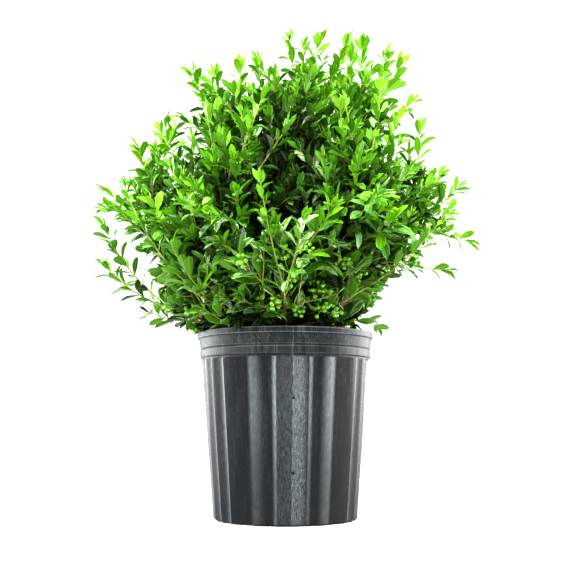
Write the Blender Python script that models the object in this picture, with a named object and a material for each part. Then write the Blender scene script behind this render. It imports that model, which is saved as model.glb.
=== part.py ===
"""Needlepoint holly in a ribbed black nursery pot.

Metres, +Z up. The origin is the middle of the pot's flat foot, and -Y is the front. The plant is a short trunk
with a root flare, rings of boughs that leave it, and one mass of twigs and leaves on the tip of each bough.
Each mass keeps to its own cell of the crown, so that no two of them meet.
"""

import math
import random
from collections import namedtuple

import bmesh
import bpy
from mathutils import Matrix, Vector
from mathutils.bvhtree import BVHTree

# Pot
POT_HEIGHT = 0.290
LIP_RADIUS = 0.140
LIP_HEIGHT = 0.0095
WALL = 0.0024
FLOOR_THICKNESS = 0.0035
FOOT_RADIUS = 0.1125
FOOT_BEVEL = 0.003
RIB_TOP_RADIUS = 0.1325
RIB_TOP_HEIGHT = 0.2485
SEAM_DEGREES = 5.0  # the mould seam, from the front towards +X, with its twin across the pot
Flute = namedtuple("Flute", "first last first_depth last_depth hollow shares")
FLUTES = (  # a quarter of the wall, in degrees out from the seam; a hollow under 0 stands out round
    Flute(0.0, 11.5, 0.0002, 0.0, 0.0012, (0.5,)),
    Flute(11.5, 17.0, 0.0, 0.0026, 0.0003, ()),
    Flute(17.0, 31.5, 0.0026, 0.0030, -0.0026, (0.25, 0.5, 0.75)),
    Flute(31.5, 50.0, 0.0030, 0.0, 0.0008, (0.5,)),
    Flute(50.0, 63.0, 0.0, 0.0, 0.0028, (0.3, 0.7)),
    Flute(63.0, 76.0, 0.0, 0.0, 0.0028, (0.3, 0.7)),
    Flute(76.0, 90.0, 0.0, 0.0, 0.0028, (0.3, 0.7)),
)
LOWER_BAND = (0.2505, 0.2615)
LOWER_BAND_RADIUS = 0.1356
GROOVE_HEIGHT = 0.2630
GROOVE_DEPTH = 0.0018
UPPER_BAND = (0.2645, 0.2795)
UPPER_BAND_RADII = (0.1352, 0.1374)
BAND_INNER_RADIUS = LOWER_BAND_RADIUS - GROOVE_DEPTH - WALL
DRAIN_COUNT = 6
DRAIN_RADIUS = 0.008
DRAIN_CIRCLE = 0.078
DRAIN_SIDES = 8

# Potting mix, and the clearance that neighbouring solids keep
MIX_TOP = 0.268
CLEARANCE = 0.0003

# Trunk: heights above the mix with the radius there
TRUNK_SIDES = 10
TRUNK_RISE = 0.200
TRUNK_LEAN = Vector((0.022, 0.006))  # how far the tip stands from the foot
TRUNK_SWAY = 0.004
TRUNK_FOOT_RADIUS = 0.0105
TRUNK_TIP_RADIUS = 0.0042
FLARE_WIDTH = 0.0075
FLARE_RISE = 0.012
TRUNK_STATIONS = 9

# Crown: a dome that is broadest a little above the rim
CROWN_RADIUS = 0.315
CROWN_BROADEST = 0.430
CROWN_TOP = 0.803
CROWN_BOTTOM = 0.262
CROWN_FULLNESS = 1.9  # 1 is a cone's side, 2 is an ellipse
CROWN_LEAN = 0.085  # sideways drift for each metre of height
CROWN_TILT = 0.06  # the right side stands higher
CROWN_SLACK = 0.002
CROWN_SEED = 11

Ring = namedtuple("Ring", "name limbs first_azimuth tip_height root_height sag lift foot_radius")
RINGS = (
    Ring("low", 8, 0.0, 0.405, 0.290, 0.035, -0.35, 0.0042),
    Ring("middle", 6, 0.0, 0.572, 0.318, 0.020, 0.30, 0.0045),
    Ring("upper", 5, 36.0, 0.742, 0.362, -0.010, 0.45, 0.0034),
)
ROOT_STAGGER = 0.012
BOUGH_SIDES = 5
BOUGH_TIP_RADIUS = 0.0030
BOUGH_STATIONS = 4
BOUGH_SHARE = 0.30  # of the way from the trunk to the crown's surface
STEM_SHARE = 0.84  # where on that way a mass's stem ends, and its last leaf begins
CELL_SHARE = 0.78  # where on that way the middle of the mass's cell lies
CELL_GAP = 0.0004

# Twigs and leaves of a mass. Stems and twigs have three sides, and what they bear stands on the sides' middles
STEM_RADIUS = 0.0034
STEM_TIP_RADIUS = 0.0018
STEM_STATIONS = 4
TWIG_SIDES = 3
TWIG_COUNT = 7
TWIG_LENGTH = 0.098
TWIG_RADIUS = 0.0014
TWIG_TIP_RADIUS = 0.0011
TWIG_JITTER = 0.45
TWIG_ANGLE = math.radians(52)
TWIG_TRIES = 12
LEAVES_ON_TWIG = 3
LEAF_SINK = 0.0002
LEAF_LENGTH = 0.072
LEAF_WIDTH = 0.035
LEAF_THICKNESS = 0.0012
LEAF_WIDEST = 0.44
LEAF_ANGLE = math.radians(48)
LEAF_TRIES = 24
LEAF_SCATTER = 0.25
END_LEAF_SIZES = (1.0, 0.85, 0.7)

# Berries
BERRY_RADIUS = 0.0045
BERRY_RING = "low"
BERRY_SHARES = (0.16, 0.26)  # of the way up each second twig

BLACK_PLASTIC = (0.035, 0.042, 0.048)
MIX_BROWN = (0.045, 0.022, 0.018)
BARK_TAN = (0.26, 0.19, 0.095)
LEAF_GREEN = (0.13, 0.34, 0.025)


def clear_scene():
    for obj in list(bpy.data.objects):
        bpy.data.objects.remove(obj, do_unlink=True)


def new_collection(name):
    collection = bpy.data.collections.new(name)
    bpy.context.scene.collection.children.link(collection)
    return collection


def finish(name, colour, roughness):
    """A material of its own for one object."""
    material = bpy.data.materials.new(name + "_finish")
    material.use_nodes = True
    shader = material.node_tree.nodes["Principled BSDF"]
    shader.inputs["Base Color"].default_value = (*colour, 1.0)
    shader.inputs["Roughness"].default_value = roughness
    shader.inputs["Metallic"].default_value = 0.0
    return material


def add_object(name, bm, collection, origin=Vector((0, 0, 0))):
    """Makes an object of a bmesh that was modelled in world space, with its origin at a given point."""
    bmesh.ops.translate(bm, verts=bm.verts, vec=-origin)
    mesh = bpy.data.meshes.new(name)
    bm.to_mesh(mesh)
    bm.free()
    obj = bpy.data.objects.new(name, mesh)
    obj.location = origin
    collection.objects.link(obj)
    return obj


def cutter(obj):
    obj.hide_render = True
    obj.display_type = "WIRE"
    return obj


def face_outwards(bm):
    bmesh.ops.recalc_face_normals(bm, faces=bm.faces)
    if bm.calc_volume(signed=True) < 0:
        bmesh.ops.reverse_faces(bm, faces=bm.faces)


def loft(rings):
    """A closed shape: the first ring's edge is extruded from each ring to the next, and both ends are capped.

    Twisted sides are split across their shorter way, so that two lofts with a gap between them keep it.
    """
    bm = bmesh.new()
    place = bm.verts.layers.int.new("place")
    for index, vert in enumerate(bmesh.ops.create_circle(bm, cap_ends=True, segments=len(rings[0]))["verts"]):
        vert[place] = index
        vert.co = rings[0][index]
    edges = bm.edges[:]
    for ring in rings[1:]:
        grown = bmesh.ops.extrude_edge_only(bm, edges=edges)["geom"]
        verts = {item for item in grown if isinstance(item, bmesh.types.BMVert)}
        for vert in verts:
            vert.co = ring[vert[place]]
        edges = [
            item for item in grown if isinstance(item, bmesh.types.BMEdge) and verts.issuperset(item.verts)
        ]
    bmesh.ops.edgeloop_fill(bm, edges=edges)
    quads = [face for face in bm.faces if len(face.verts) == 4]
    bmesh.ops.triangulate(bm, faces=quads, quad_method="SHORT_EDGE")
    face_outwards(bm)
    return bm


def flute_stations():
    """How deep the wall is pressed in, by degrees from the mould seam. Its quarters mirror each other."""
    quarter = []
    for flute in FLUTES:
        for share in (0.0, *flute.shares):
            depth = flute.first_depth + (flute.last_depth - flute.first_depth) * share
            depth += flute.hollow * 4 * share * (1 - share)
            quarter.append((flute.first + (flute.last - flute.first) * share, depth))
    half = quarter + [(90.0, 0.0)] + [(180 - degrees, depth) for degrees, depth in reversed(quarter)]
    return half + [(360 - degrees, depth) for degrees, depth in reversed(half[1:-1])]


def fluted_outline(radius, height, depth=1.0):
    """Points around the pot at one height, pressed in by the flutes' own depths scaled by the depth.

    The angles count from the front, -Y, towards +X.
    """
    points = []
    for degrees, press in flute_stations():
        turn = math.radians(SEAM_DEGREES + degrees) - math.pi / 2
        here = radius - depth * press
        points.append(Vector((here * math.cos(turn), here * math.sin(turn), height)))
    return points


def round_outline(radius, height):
    return fluted_outline(radius, height, depth=0.0)


def inset(outline, distance):
    """The same outline moved inwards by one distance from all its sides."""
    moved = []
    for index, point in enumerate(outline):
        before = (point - outline[index - 1]).normalized()
        after = (outline[(index + 1) % len(outline)] - point).normalized()
        normals = (Vector((-before.y, before.x, 0)), Vector((-after.y, after.x, 0)))
        mitre = (normals[0] + normals[1]).normalized()
        moved.append(point + mitre * distance / mitre.dot(normals[0]))
    return moved


def wall_outline(height, distance):
    """The pot's outer wall at a height on its ribbed part, moved inwards by a distance."""
    share = height / RIB_TOP_HEIGHT
    radius = FOOT_RADIUS + (RIB_TOP_RADIUS - FOOT_RADIUS) * share
    return inset(fluted_outline(radius, height), distance)


def make_pot(collection, cutters):
    rings = [
        inset(wall_outline(0.0, 0.0), FOOT_BEVEL),
        wall_outline(FOOT_BEVEL, 0.0),
        wall_outline(RIB_TOP_HEIGHT, 0.0),
        round_outline(LOWER_BAND_RADIUS, LOWER_BAND[0]),
        round_outline(LOWER_BAND_RADIUS, LOWER_BAND[1]),
        round_outline(LOWER_BAND_RADIUS - GROOVE_DEPTH, GROOVE_HEIGHT),
        round_outline(UPPER_BAND_RADII[0], UPPER_BAND[0]),
        round_outline(UPPER_BAND_RADII[1], UPPER_BAND[1]),
        round_outline(LIP_RADIUS, POT_HEIGHT - LIP_HEIGHT),
        round_outline(LIP_RADIUS, POT_HEIGHT),
        round_outline(UPPER_BAND_RADII[1] - WALL, POT_HEIGHT),
        round_outline(BAND_INNER_RADIUS, LOWER_BAND[0]),
        wall_outline(RIB_TOP_HEIGHT - WALL, WALL),
        wall_outline(FLOOR_THICKNESS, WALL),
    ]
    pot = add_object("pot", loft(rings), collection)
    for number in range(DRAIN_COUNT):
        turn = 2 * math.pi * (number + 0.5) / DRAIN_COUNT
        bm = bmesh.new()
        bmesh.ops.create_cone(
            bm,
            cap_ends=True,
            segments=DRAIN_SIDES,
            radius1=DRAIN_RADIUS,
            radius2=DRAIN_RADIUS,
            depth=4 * FLOOR_THICKNESS,
        )
        middle = Vector((DRAIN_CIRCLE * math.cos(turn), DRAIN_CIRCLE * math.sin(turn), 0))
        hole = cutter(add_object(f"drain_cutter_{number + 1}", bm, cutters))
        hole.location = middle
        cut = pot.modifiers.new(f"drain_{number + 1}", "BOOLEAN")
        cut.operation = "DIFFERENCE"
        cut.object = hole
    pot.data.materials.append(finish("pot", BLACK_PLASTIC, 0.36))
    return pot


def make_potting_mix(collection):
    gap = WALL + CLEARANCE
    rings = [
        wall_outline(FLOOR_THICKNESS + CLEARANCE, gap),
        wall_outline(RIB_TOP_HEIGHT - WALL, gap),
        round_outline(BAND_INNER_RADIUS - CLEARANCE, MIX_TOP),
    ]
    mix = add_object("potting_mix", loft(rings), collection)
    mix.data.materials.append(finish("potting_mix", MIX_BROWN, 0.95))
    return mix


def trunk_point(share):
    """The trunk's axis from its foot, 0, to its tip, 1."""
    sway = TRUNK_SWAY * math.sin(2 * math.pi * share)
    height = MIX_TOP + CLEARANCE + TRUNK_RISE * share
    return Vector((TRUNK_LEAN.x * share - sway, TRUNK_LEAN.y * share + sway, height))


def trunk_radius(share):
    taper = TRUNK_FOOT_RADIUS + (TRUNK_TIP_RADIUS - TRUNK_FOOT_RADIUS) * share
    return taper + FLARE_WIDTH * math.exp(-share * TRUNK_RISE / FLARE_RISE)


def across(direction):
    """Two unit vectors at right angles to a direction and to each other."""
    side = direction.cross(Vector((0, 0, 1)))
    if side.length < 1e-3:
        side = Vector((1, 0, 0))
    side.normalize()
    return side, side.cross(direction).normalized()


def tube(points, radii, sides):
    """Rings along a path, for loft."""
    rings = []
    for index, (point, radius) in enumerate(zip(points, radii)):
        ahead = points[min(index + 1, len(points) - 1)] - points[max(index - 1, 0)]
        side, up = across(ahead.normalized())
        turns = [2 * math.pi * number / sides for number in range(sides)]
        rings.append([point + (side * math.cos(turn) + up * math.sin(turn)) * radius for turn in turns])
    return rings


def side_middle(direction, number, jitter=0.0):
    """The way out through the middle of one side of a three-sided twig."""
    side, up = across(direction)
    turn = 2 * math.pi * (number + 0.5) / TWIG_SIDES + jitter
    return side * math.cos(turn) + up * math.sin(turn)


def trunk_rings(extra):
    """The trunk's level rings. They stand closer together in the flare at its foot."""
    shares = [(number / (TRUNK_STATIONS - 1)) ** 2 for number in range(TRUNK_STATIONS)]
    turns = [2 * math.pi * number / TRUNK_SIDES for number in range(TRUNK_SIDES)]
    return [
        [
            trunk_point(share) + Vector((math.cos(turn), math.sin(turn), 0)) * (trunk_radius(share) + extra)
            for turn in turns
        ]
        for share in shares
    ]


def make_trunk(collection):
    trunk = add_object("trunk", loft(trunk_rings(0.0)), collection, trunk_point(0))
    trunk.data.materials.append(finish("trunk", BARK_TAN, 0.85))
    return trunk


def crown_radius(height):
    """How far the crown reaches from its middle at a height."""
    if height > CROWN_BROADEST:
        share = (height - CROWN_BROADEST) / (CROWN_TOP - CROWN_BROADEST)
    else:
        share = (CROWN_BROADEST - height) / (CROWN_BROADEST - CROWN_BOTTOM)
    share = min(share, 1.0)
    return CROWN_RADIUS * (1 - share**CROWN_FULLNESS) ** (1 / CROWN_FULLNESS)


def in_crown(point):
    """Whether a point lies inside the crown's dome."""
    middle = CROWN_LEAN * (point.z - CROWN_BROADEST)
    height = point.z - CROWN_TILT * point.x
    sideways = math.hypot(point.x - middle, point.y)
    return height < CROWN_TOP and sideways < crown_radius(height) + CROWN_SLACK


def crown_tip(azimuth, height):
    lean = CROWN_LEAN * (height - CROWN_BROADEST)
    reach = crown_radius(height)
    x = lean + reach * math.cos(azimuth)
    return Vector((x, reach * math.sin(azimuth), height + CROWN_TILT * x))


class Limb:
    """One way from the trunk to the crown's surface: a bough first, and a mass of foliage on from its tip.

    The mass starts at a share of the way. The leader has no bough, so its mass starts on the trunk's own tip.
    """

    def __init__(self, name, root, tip, sag, lift, foot_radius, start=BOUGH_SHARE):
        self.name = name
        self.start = start
        self.lift = lift
        self.root = root
        self.tip = tip
        self.bend = (root + tip) / 2 - Vector((0, 0, sag))
        self.foot_radius = foot_radius
        self.cell_middle = self.point(CELL_SHARE)

    def point(self, share):
        return self.root * (1 - share) ** 2 + self.bend * 2 * share * (1 - share) + self.tip * share**2

    def direction(self, share):
        return ((self.bend - self.root) * (1 - share) + (self.tip - self.bend) * share).normalized()


def plan_limbs():
    limbs = []
    for ring in RINGS:
        for number in range(ring.limbs):
            azimuth = math.radians(ring.first_azimuth) + 2 * math.pi * number / ring.limbs
            stagger = ROOT_STAGGER * (number % 2)
            share = (ring.root_height + stagger - MIX_TOP) / TRUNK_RISE
            tip = crown_tip(azimuth, ring.tip_height)
            name = f"{ring.name}_{number + 1}"
            limbs.append(Limb(name, trunk_point(share), tip, ring.sag, ring.lift, ring.foot_radius))
    return limbs


def plan_leader():
    """The mass that grows straight on from the trunk's tip."""
    leader = Limb("top", trunk_point(1.0), crown_tip(0.0, CROWN_TOP), 0.0, 0.4, TRUNK_TIP_RADIUS, start=0.0)
    leader.cell_middle = leader.point(0.7)
    return leader


def make_bough(limb, collection, trunk_cutter):
    shares = [BOUGH_SHARE * number / (BOUGH_STATIONS - 1) for number in range(BOUGH_STATIONS)]
    radii = [
        limb.foot_radius + (BOUGH_TIP_RADIUS - limb.foot_radius) * share / BOUGH_SHARE for share in shares
    ]
    name = "bough_" + limb.name
    bm = loft(tube([limb.point(share) for share in shares], radii, BOUGH_SIDES))
    bough = add_object(name, bm, collection, limb.root)
    cut = bough.modifiers.new("seat_on_trunk", "BOOLEAN")
    cut.operation = "DIFFERENCE"
    cut.object = trunk_cutter
    bough.data.materials.append(finish(name, BARK_TAN, 0.8))
    return bough


def make_leaf(root, axis, face, size):
    """An octahedron flattened to a leaf: root, tip, two side corners, and its two faces."""
    bm = bmesh.new()
    bmesh.ops.create_uvsphere(bm, u_segments=4, v_segments=2, radius=1.0)
    side = axis.cross(face).normalized()
    normal = side.cross(axis)
    for vert in bm.verts:
        along = LEAF_WIDEST + (vert.co.z > 0.5) * (1 - LEAF_WIDEST) - (vert.co.z < -0.5) * LEAF_WIDEST
        vert.co = (
            root
            + axis * along * LEAF_LENGTH * size
            + side * vert.co.x * LEAF_WIDTH * size / 2
            + normal * vert.co.y * LEAF_THICKNESS / 2
        )
    face_outwards(bm)
    return bm


def make_berry(middle):
    bm = bmesh.new()
    bmesh.ops.create_icosphere(bm, subdivisions=1, radius=BERRY_RADIUS, matrix=Matrix.Translation(middle))
    return bm


def touches(tree, others):
    return any(tree.overlap(other) for other in others)


class Mass:
    """Twigs and leaves of one mass, each kept only inside the mass's cell and clear of all that is there."""

    def __init__(self, limb, limbs, obstacles, seed):
        self.limb = limb
        self.others = [other.cell_middle for other in limbs if other is not limb]
        self.obstacles = obstacles
        self.draw = random.Random(seed)
        self.twigs = []
        self.leaves = []
        self.own = []

    def holds(self, bm):
        """Whether all of a shape lies in the cell of points nearest to this mass's middle."""
        if not all(in_crown(vert.co) for vert in bm.verts):
            return False
        middle = self.limb.cell_middle
        for other in self.others:
            way = other - middle
            limit = way.length / 2 - CELL_GAP
            way.normalize()
            if any((vert.co - middle).dot(way) > limit for vert in bm.verts):
                return False
        return True

    def keep(self, bm, group, parent):
        """Adds a shape to a group if it has room. It may meet nothing but its parent."""
        tree = BVHTree.FromBMesh(bm)
        neighbours = [other for other in self.own if other is not parent]
        if not self.holds(bm) or touches(tree, self.obstacles) or touches(tree, neighbours):
            bm.free()
            return None
        group.append(bm)
        self.own.append(tree)
        return tree

    def outward(self, point):
        away = point - Vector((0, 0, CROWN_BROADEST))
        return away.normalized()

    def leaf_on(self, point, along, radial, parent, size):
        for attempt in range(LEAF_TRIES):
            scatter = Vector([self.draw.uniform(-1, 1) for _ in range(3)]) * LEAF_SCATTER * (1 + attempt / 8)
            axis = along * math.cos(LEAF_ANGLE) + radial * math.sin(LEAF_ANGLE) + scatter
            axis.normalize()
            face = self.outward(point) + Vector((0, 0, 0.6)) + scatter
            leaf = make_leaf(point - radial * LEAF_SINK, axis, face, size)
            if self.keep(leaf, self.leaves, parent):
                return

    def leaves_on(self, foot, tip, parent, count):
        """Leaves in a spiral up a twig, with one at its tip."""
        along = (tip - foot).normalized()
        first = self.draw.randrange(TWIG_SIDES)
        for number in range(count):
            share = 0.34 + 0.60 * number / (count - 1)
            radial = side_middle(along, first + number)
            self.leaf_on(foot.lerp(tip, share), along, radial, parent, self.draw.uniform(0.85, 1.1))
        for size in END_LEAF_SIZES:
            end = make_leaf(tip - along * TWIG_TIP_RADIUS, along, self.outward(tip), size)
            if self.keep(end, self.leaves, parent):
                return

    def berries_on(self, foot, tip, parent):
        for number, share in enumerate(BERRY_SHARES):
            radial = side_middle((tip - foot).normalized(), number)
            self.keep(make_berry(foot.lerp(tip, share) + radial * BERRY_RADIUS * 0.75), self.leaves, parent)

    def grow_twigs(self, stem_tree):
        self.own.append(stem_tree)
        for number in range(TWIG_COUNT):
            start = self.limb.start
            share = start + (STEM_SHARE - start) * (0.10 + 0.84 * number / (TWIG_COUNT - 1))
            foot = self.limb.point(share)
            ahead = self.limb.direction(share)
            for attempt in range(TWIG_TRIES):
                radial = side_middle(ahead, number + attempt, self.draw.uniform(-TWIG_JITTER, TWIG_JITTER))
                way = ahead * math.cos(TWIG_ANGLE) + radial * math.sin(TWIG_ANGLE)
                way = (way + Vector((0, 0, self.limb.lift))).normalized()
                length = TWIG_LENGTH * (1 - 0.05 * attempt) * self.draw.uniform(0.8, 1.1)
                tip = foot + way * length
                twig = loft(tube([foot, tip], [TWIG_RADIUS, TWIG_TIP_RADIUS], TWIG_SIDES))
                tree = self.keep(twig, self.twigs, stem_tree)
                if tree:
                    self.leaves_on(foot, tip, tree, LEAVES_ON_TWIG)
                    if number % 2 and self.limb.name.startswith(BERRY_RING):
                        self.berries_on(foot, tip, tree)
                    break
        self.leaves_on(self.limb.point(0.62), self.limb.point(STEM_SHARE), stem_tree, LEAVES_ON_TWIG)

    def fuse(self, stem, collection):
        """Joins the twigs and leaves to the stem with one union on a collection, and applies it."""
        scraps = bpy.data.collections.new("pieces_of_" + self.limb.name)
        bpy.context.scene.collection.children.link(scraps)
        for number, bm in enumerate(self.twigs + self.leaves):
            add_object(f"piece_{number}", bm, scraps)
        union = stem.modifiers.new("fuse", "BOOLEAN")
        union.operation = "UNION"
        union.operand_type = "COLLECTION"
        union.collection = scraps
        apply_modifiers(stem)
        for piece in list(scraps.objects):
            bpy.data.meshes.remove(piece.data, do_unlink=True)
        bpy.data.collections.remove(scraps)
        keep_largest_body(stem.data)


def apply_modifiers(obj):
    bpy.context.view_layer.update()
    evaluated = obj.evaluated_get(bpy.context.evaluated_depsgraph_get())
    joined = bpy.data.meshes.new_from_object(evaluated)
    obj.modifiers.clear()
    obj.data = joined
    joined.name = obj.name


def keep_largest_body(mesh):
    """Drops loose scraps, and fills hollows that the union sealed."""
    bm = bmesh.new()
    bm.from_mesh(mesh)
    bodies, seen = [], set()
    for first in bm.faces:
        if first in seen:
            continue
        body, front = {first}, [first]
        while front:
            edges = [edge for edge in front.pop().edges if len(edge.link_faces) == 2]
            fresh = {face for edge in edges for face in edge.link_faces} - body
            body |= fresh
            front.extend(fresh)
        seen |= body
        bodies.append(body)
    largest = max(bodies, key=len)
    loose = [face for face in bm.faces if face not in largest]
    bmesh.ops.delete(bm, geom=loose, context="FACES")
    bm.to_mesh(mesh)
    bm.free()


def stem_rings(limb):
    """The stem of a mass, from just past its bough's or the trunk's tip to the crown's surface."""
    first = limb.point(limb.start) + limb.direction(limb.start) * CLEARANCE
    steps = [number / (STEM_STATIONS - 1) for number in range(STEM_STATIONS)]
    points = [first] + [limb.point(limb.start + (STEM_SHARE - limb.start) * step) for step in steps[1:]]
    radii = [STEM_RADIUS + (STEM_TIP_RADIUS - STEM_RADIUS) * step for step in steps]
    return tube(points, radii, TWIG_SIDES)


def tree_of(obj):
    bm = bmesh.new()
    evaluated = obj.evaluated_get(bpy.context.evaluated_depsgraph_get())
    bm.from_mesh(evaluated.to_mesh())
    bmesh.ops.transform(bm, matrix=obj.matrix_world, verts=bm.verts)
    tree = BVHTree.FromBMesh(bm)
    bm.free()
    return tree


def make_masses(limbs, hard_parts, collection):
    """All stems first, because a leaf of one mass has to clear the stems of the others too."""
    bpy.context.view_layer.update()
    obstacles = [tree_of(part) for part in hard_parts]
    stems = [add_object("foliage_" + limb.name, loft(stem_rings(limb)), collection) for limb in limbs]
    bpy.context.view_layer.update()
    trees = [tree_of(stem) for stem in stems]
    for number, (limb, stem) in enumerate(zip(limbs, stems)):
        others = [tree for tree in trees if tree is not trees[number]]
        mass = Mass(limb, limbs, obstacles + others, CROWN_SEED + number)
        mass.grow_twigs(trees[number])
        mass.fuse(stem, collection)
        stem.data.materials.append(finish(stem.name, LEAF_GREEN, 0.42))
    return stems


def main():
    clear_scene()
    holly = new_collection("needlepoint_holly")
    cutters = new_collection("cutters")
    pot = make_pot(holly, cutters)
    mix = make_potting_mix(holly)
    trunk = make_trunk(holly)
    trunk_cutter = cutter(add_object("trunk_clearance", loft(trunk_rings(CLEARANCE)), cutters))
    limbs = plan_limbs()
    boughs = [make_bough(limb, holly, trunk_cutter) for limb in limbs]
    limbs.append(plan_leader())
    masses = make_masses(limbs, [pot, mix, trunk] + boughs, holly)
    stand = bpy.data.objects.new("needlepoint_holly_stand", None)
    holly.objects.link(stand)
    for part in [pot, mix, trunk] + boughs + masses:
        part.parent = stand


main()
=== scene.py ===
"""Needlepoint holly in a fluted black nursery pot.

The pot, the potting mix, the trunk with its boughs, and the twigs, leaves and berries are each made by an
operator of their own, and one more sets the stage. Metres, +Z up, with the middle of the pot's foot at the
origin and the front towards -Y.
"""

import math
import random
from collections import defaultdict, namedtuple

import bmesh
import bpy
import numpy as np
from bpy.props import FloatProperty, FloatVectorProperty, IntProperty, PointerProperty
from mathutils import Matrix, Vector, noise


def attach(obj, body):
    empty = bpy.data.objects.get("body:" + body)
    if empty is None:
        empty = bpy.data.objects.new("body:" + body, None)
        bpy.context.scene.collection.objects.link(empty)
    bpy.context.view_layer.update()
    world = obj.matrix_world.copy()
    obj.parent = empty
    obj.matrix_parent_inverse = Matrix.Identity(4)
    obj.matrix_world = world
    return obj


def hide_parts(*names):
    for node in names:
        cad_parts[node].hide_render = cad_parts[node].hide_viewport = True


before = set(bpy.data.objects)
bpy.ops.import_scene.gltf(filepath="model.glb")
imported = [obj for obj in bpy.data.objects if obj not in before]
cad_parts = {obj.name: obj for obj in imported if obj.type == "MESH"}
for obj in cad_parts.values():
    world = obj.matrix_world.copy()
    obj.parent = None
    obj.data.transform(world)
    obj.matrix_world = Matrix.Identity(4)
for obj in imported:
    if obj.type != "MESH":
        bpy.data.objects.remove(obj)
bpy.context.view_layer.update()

bl_info = {
    "name": "Potted Needlepoint Holly",
    "version": (1, 0, 0),
    "blender": (4, 5, 0),
    "location": "View3D > Sidebar > Holly",
    "description": "Makes a needlepoint holly in its nursery pot, on a pale stage",
    "category": "Add Mesh",
}

UP = Vector((0, 0, 1))
GOLDEN_TURN = math.radians(137.5)

# Camera: in front of the pot, level with the middle of its wall, and looking up a little
CAMERA_DISTANCE = 1.5
CAMERA_HEIGHT = 0.153
CAMERA_ASIDE = 0.0043
CAMERA_RISE_DEGREES = 8.03
CAMERA_LENS = 58.5
CAMERA_SENSOR = 36.0

# Pot
POT_HEIGHT = 0.290
LIP_RADIUS = 0.140
FOOT_BEVEL = 0.003
FLOOR_THICKNESS = 0.0035
SEAM_DEGREES = 5.0  # the mould seam, from the front towards +X, with its twin across the pot
Flute = namedtuple("Flute", "first last first_depth last_depth hollow skew")
FLUTES = (  # a quarter of the wall, in degrees out from the seam; a hollow under 0 stands out round
    Flute(0.0, 11.5, 0.0002, 0.0, 0.0012, 1.0),
    Flute(11.5, 17.0, 0.0, 0.0026, 0.0004, 1.0),
    Flute(17.0, 31.5, 0.0026, 0.0032, -0.0030, 1.3),
    Flute(31.5, 50.0, 0.0032, 0.0, 0.0008, 1.0),
    Flute(50.0, 63.0, 0.0, 0.0, 0.0032, 0.68),
    Flute(63.0, 76.0, 0.0, 0.0, 0.0032, 0.68),
    Flute(76.0, 90.0, 0.0, 0.0, 0.0032, 0.68),
)
OUTER_FLUTES = 50.0  # from here out from the seam, in degrees, the flutes are alike
OUTER_WIDTH = 13.3  # about the width of each of them
FLUTE_TOP = 0.2470
FLUTE_FADE = 0.0035
BAND_EDGES = (  # height of each edge of the bands, and how bright its painted highlight is
    (0.2509, 0.12), (0.2612, 0.16), (0.2650, 0.14), (0.2812, 0.42), (0.2888, 0.55),
)
NICKS = ((0.185, 0.1274), (0.077, 0.1188))  # height and radius of each, close beside the seam
NICK_DEGREES = SEAM_DEGREES + 0.6
POT_STEPS = 720
DRAIN_COUNT = 6
DRAIN_RADIUS = 0.008
DRAIN_CIRCLE = 0.078

# Potting mix, and the chips that lie on it
MIX_TOP = 0.268
MIX_BOTTOM = 0.0038 + 0.001  # the solid's, raised a millimetre clear of the pot's floor
MIX_RADIUS = 0.1310
MIX_SHOULDER = (0.1290, 0.245)
MIX_FOOT_RADIUS = 0.1065
MIX_RINGS = 46
MIX_STEPS = 200
CHIP_COUNT = 900
CHIP_SIZES = (0.0025, 0.0085)
CHIP_SEED = 5
PERLITE_SHARE = 0.05
PERLITE_SIZES = (0.0020, 0.0034)

# Trunk, by shares of its height
TRUNK_RISE = 0.200
TRUNK_LEAN = Vector((0.022, 0.006))
TRUNK_SWAY = 0.004
TRUNK_FOOT_RADIUS = 0.0105
TRUNK_TIP_RADIUS = 0.0042
FLARE_WIDTH = 0.0075
FLARE_RISE = 0.012
ROOT_RISE = 0.03  # up to here five roots show as lobes round the trunk's foot
ROOT_DEPTH = 0.0016
CLEARANCE = 0.0003

# Crown: a dome, and the rings of limbs that reach its surface
CROWN_RADIUS = 0.315
CROWN_BROADEST = 0.430
CROWN_TOP = 0.803
CROWN_BOTTOM = 0.262
CROWN_FULLNESS = 1.9
CROWN_LEAN = 0.085
CROWN_TILT = 0.06
Ring = namedtuple("Ring", "name limbs first_azimuth tip_height root_height sag lift foot_radius")
RINGS = (
    Ring("low", 8, 0.0, 0.405, 0.290, 0.035, -0.35, 0.0042),
    Ring("middle", 6, 0.0, 0.572, 0.318, 0.020, 0.30, 0.0045),
    Ring("upper", 5, 36.0, 0.742, 0.362, -0.010, 0.45, 0.0034),
)
ROOT_STAGGER = 0.012
BOUGH_SHARE = 0.30
BOUGH_FLARE = 0.002
BOUGH_FLARE_SHARE = 0.02
STEM_RADIUS = 0.0030
STEM_TIP_RADIUS = 0.0012
STEM_END = 0.93

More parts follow.
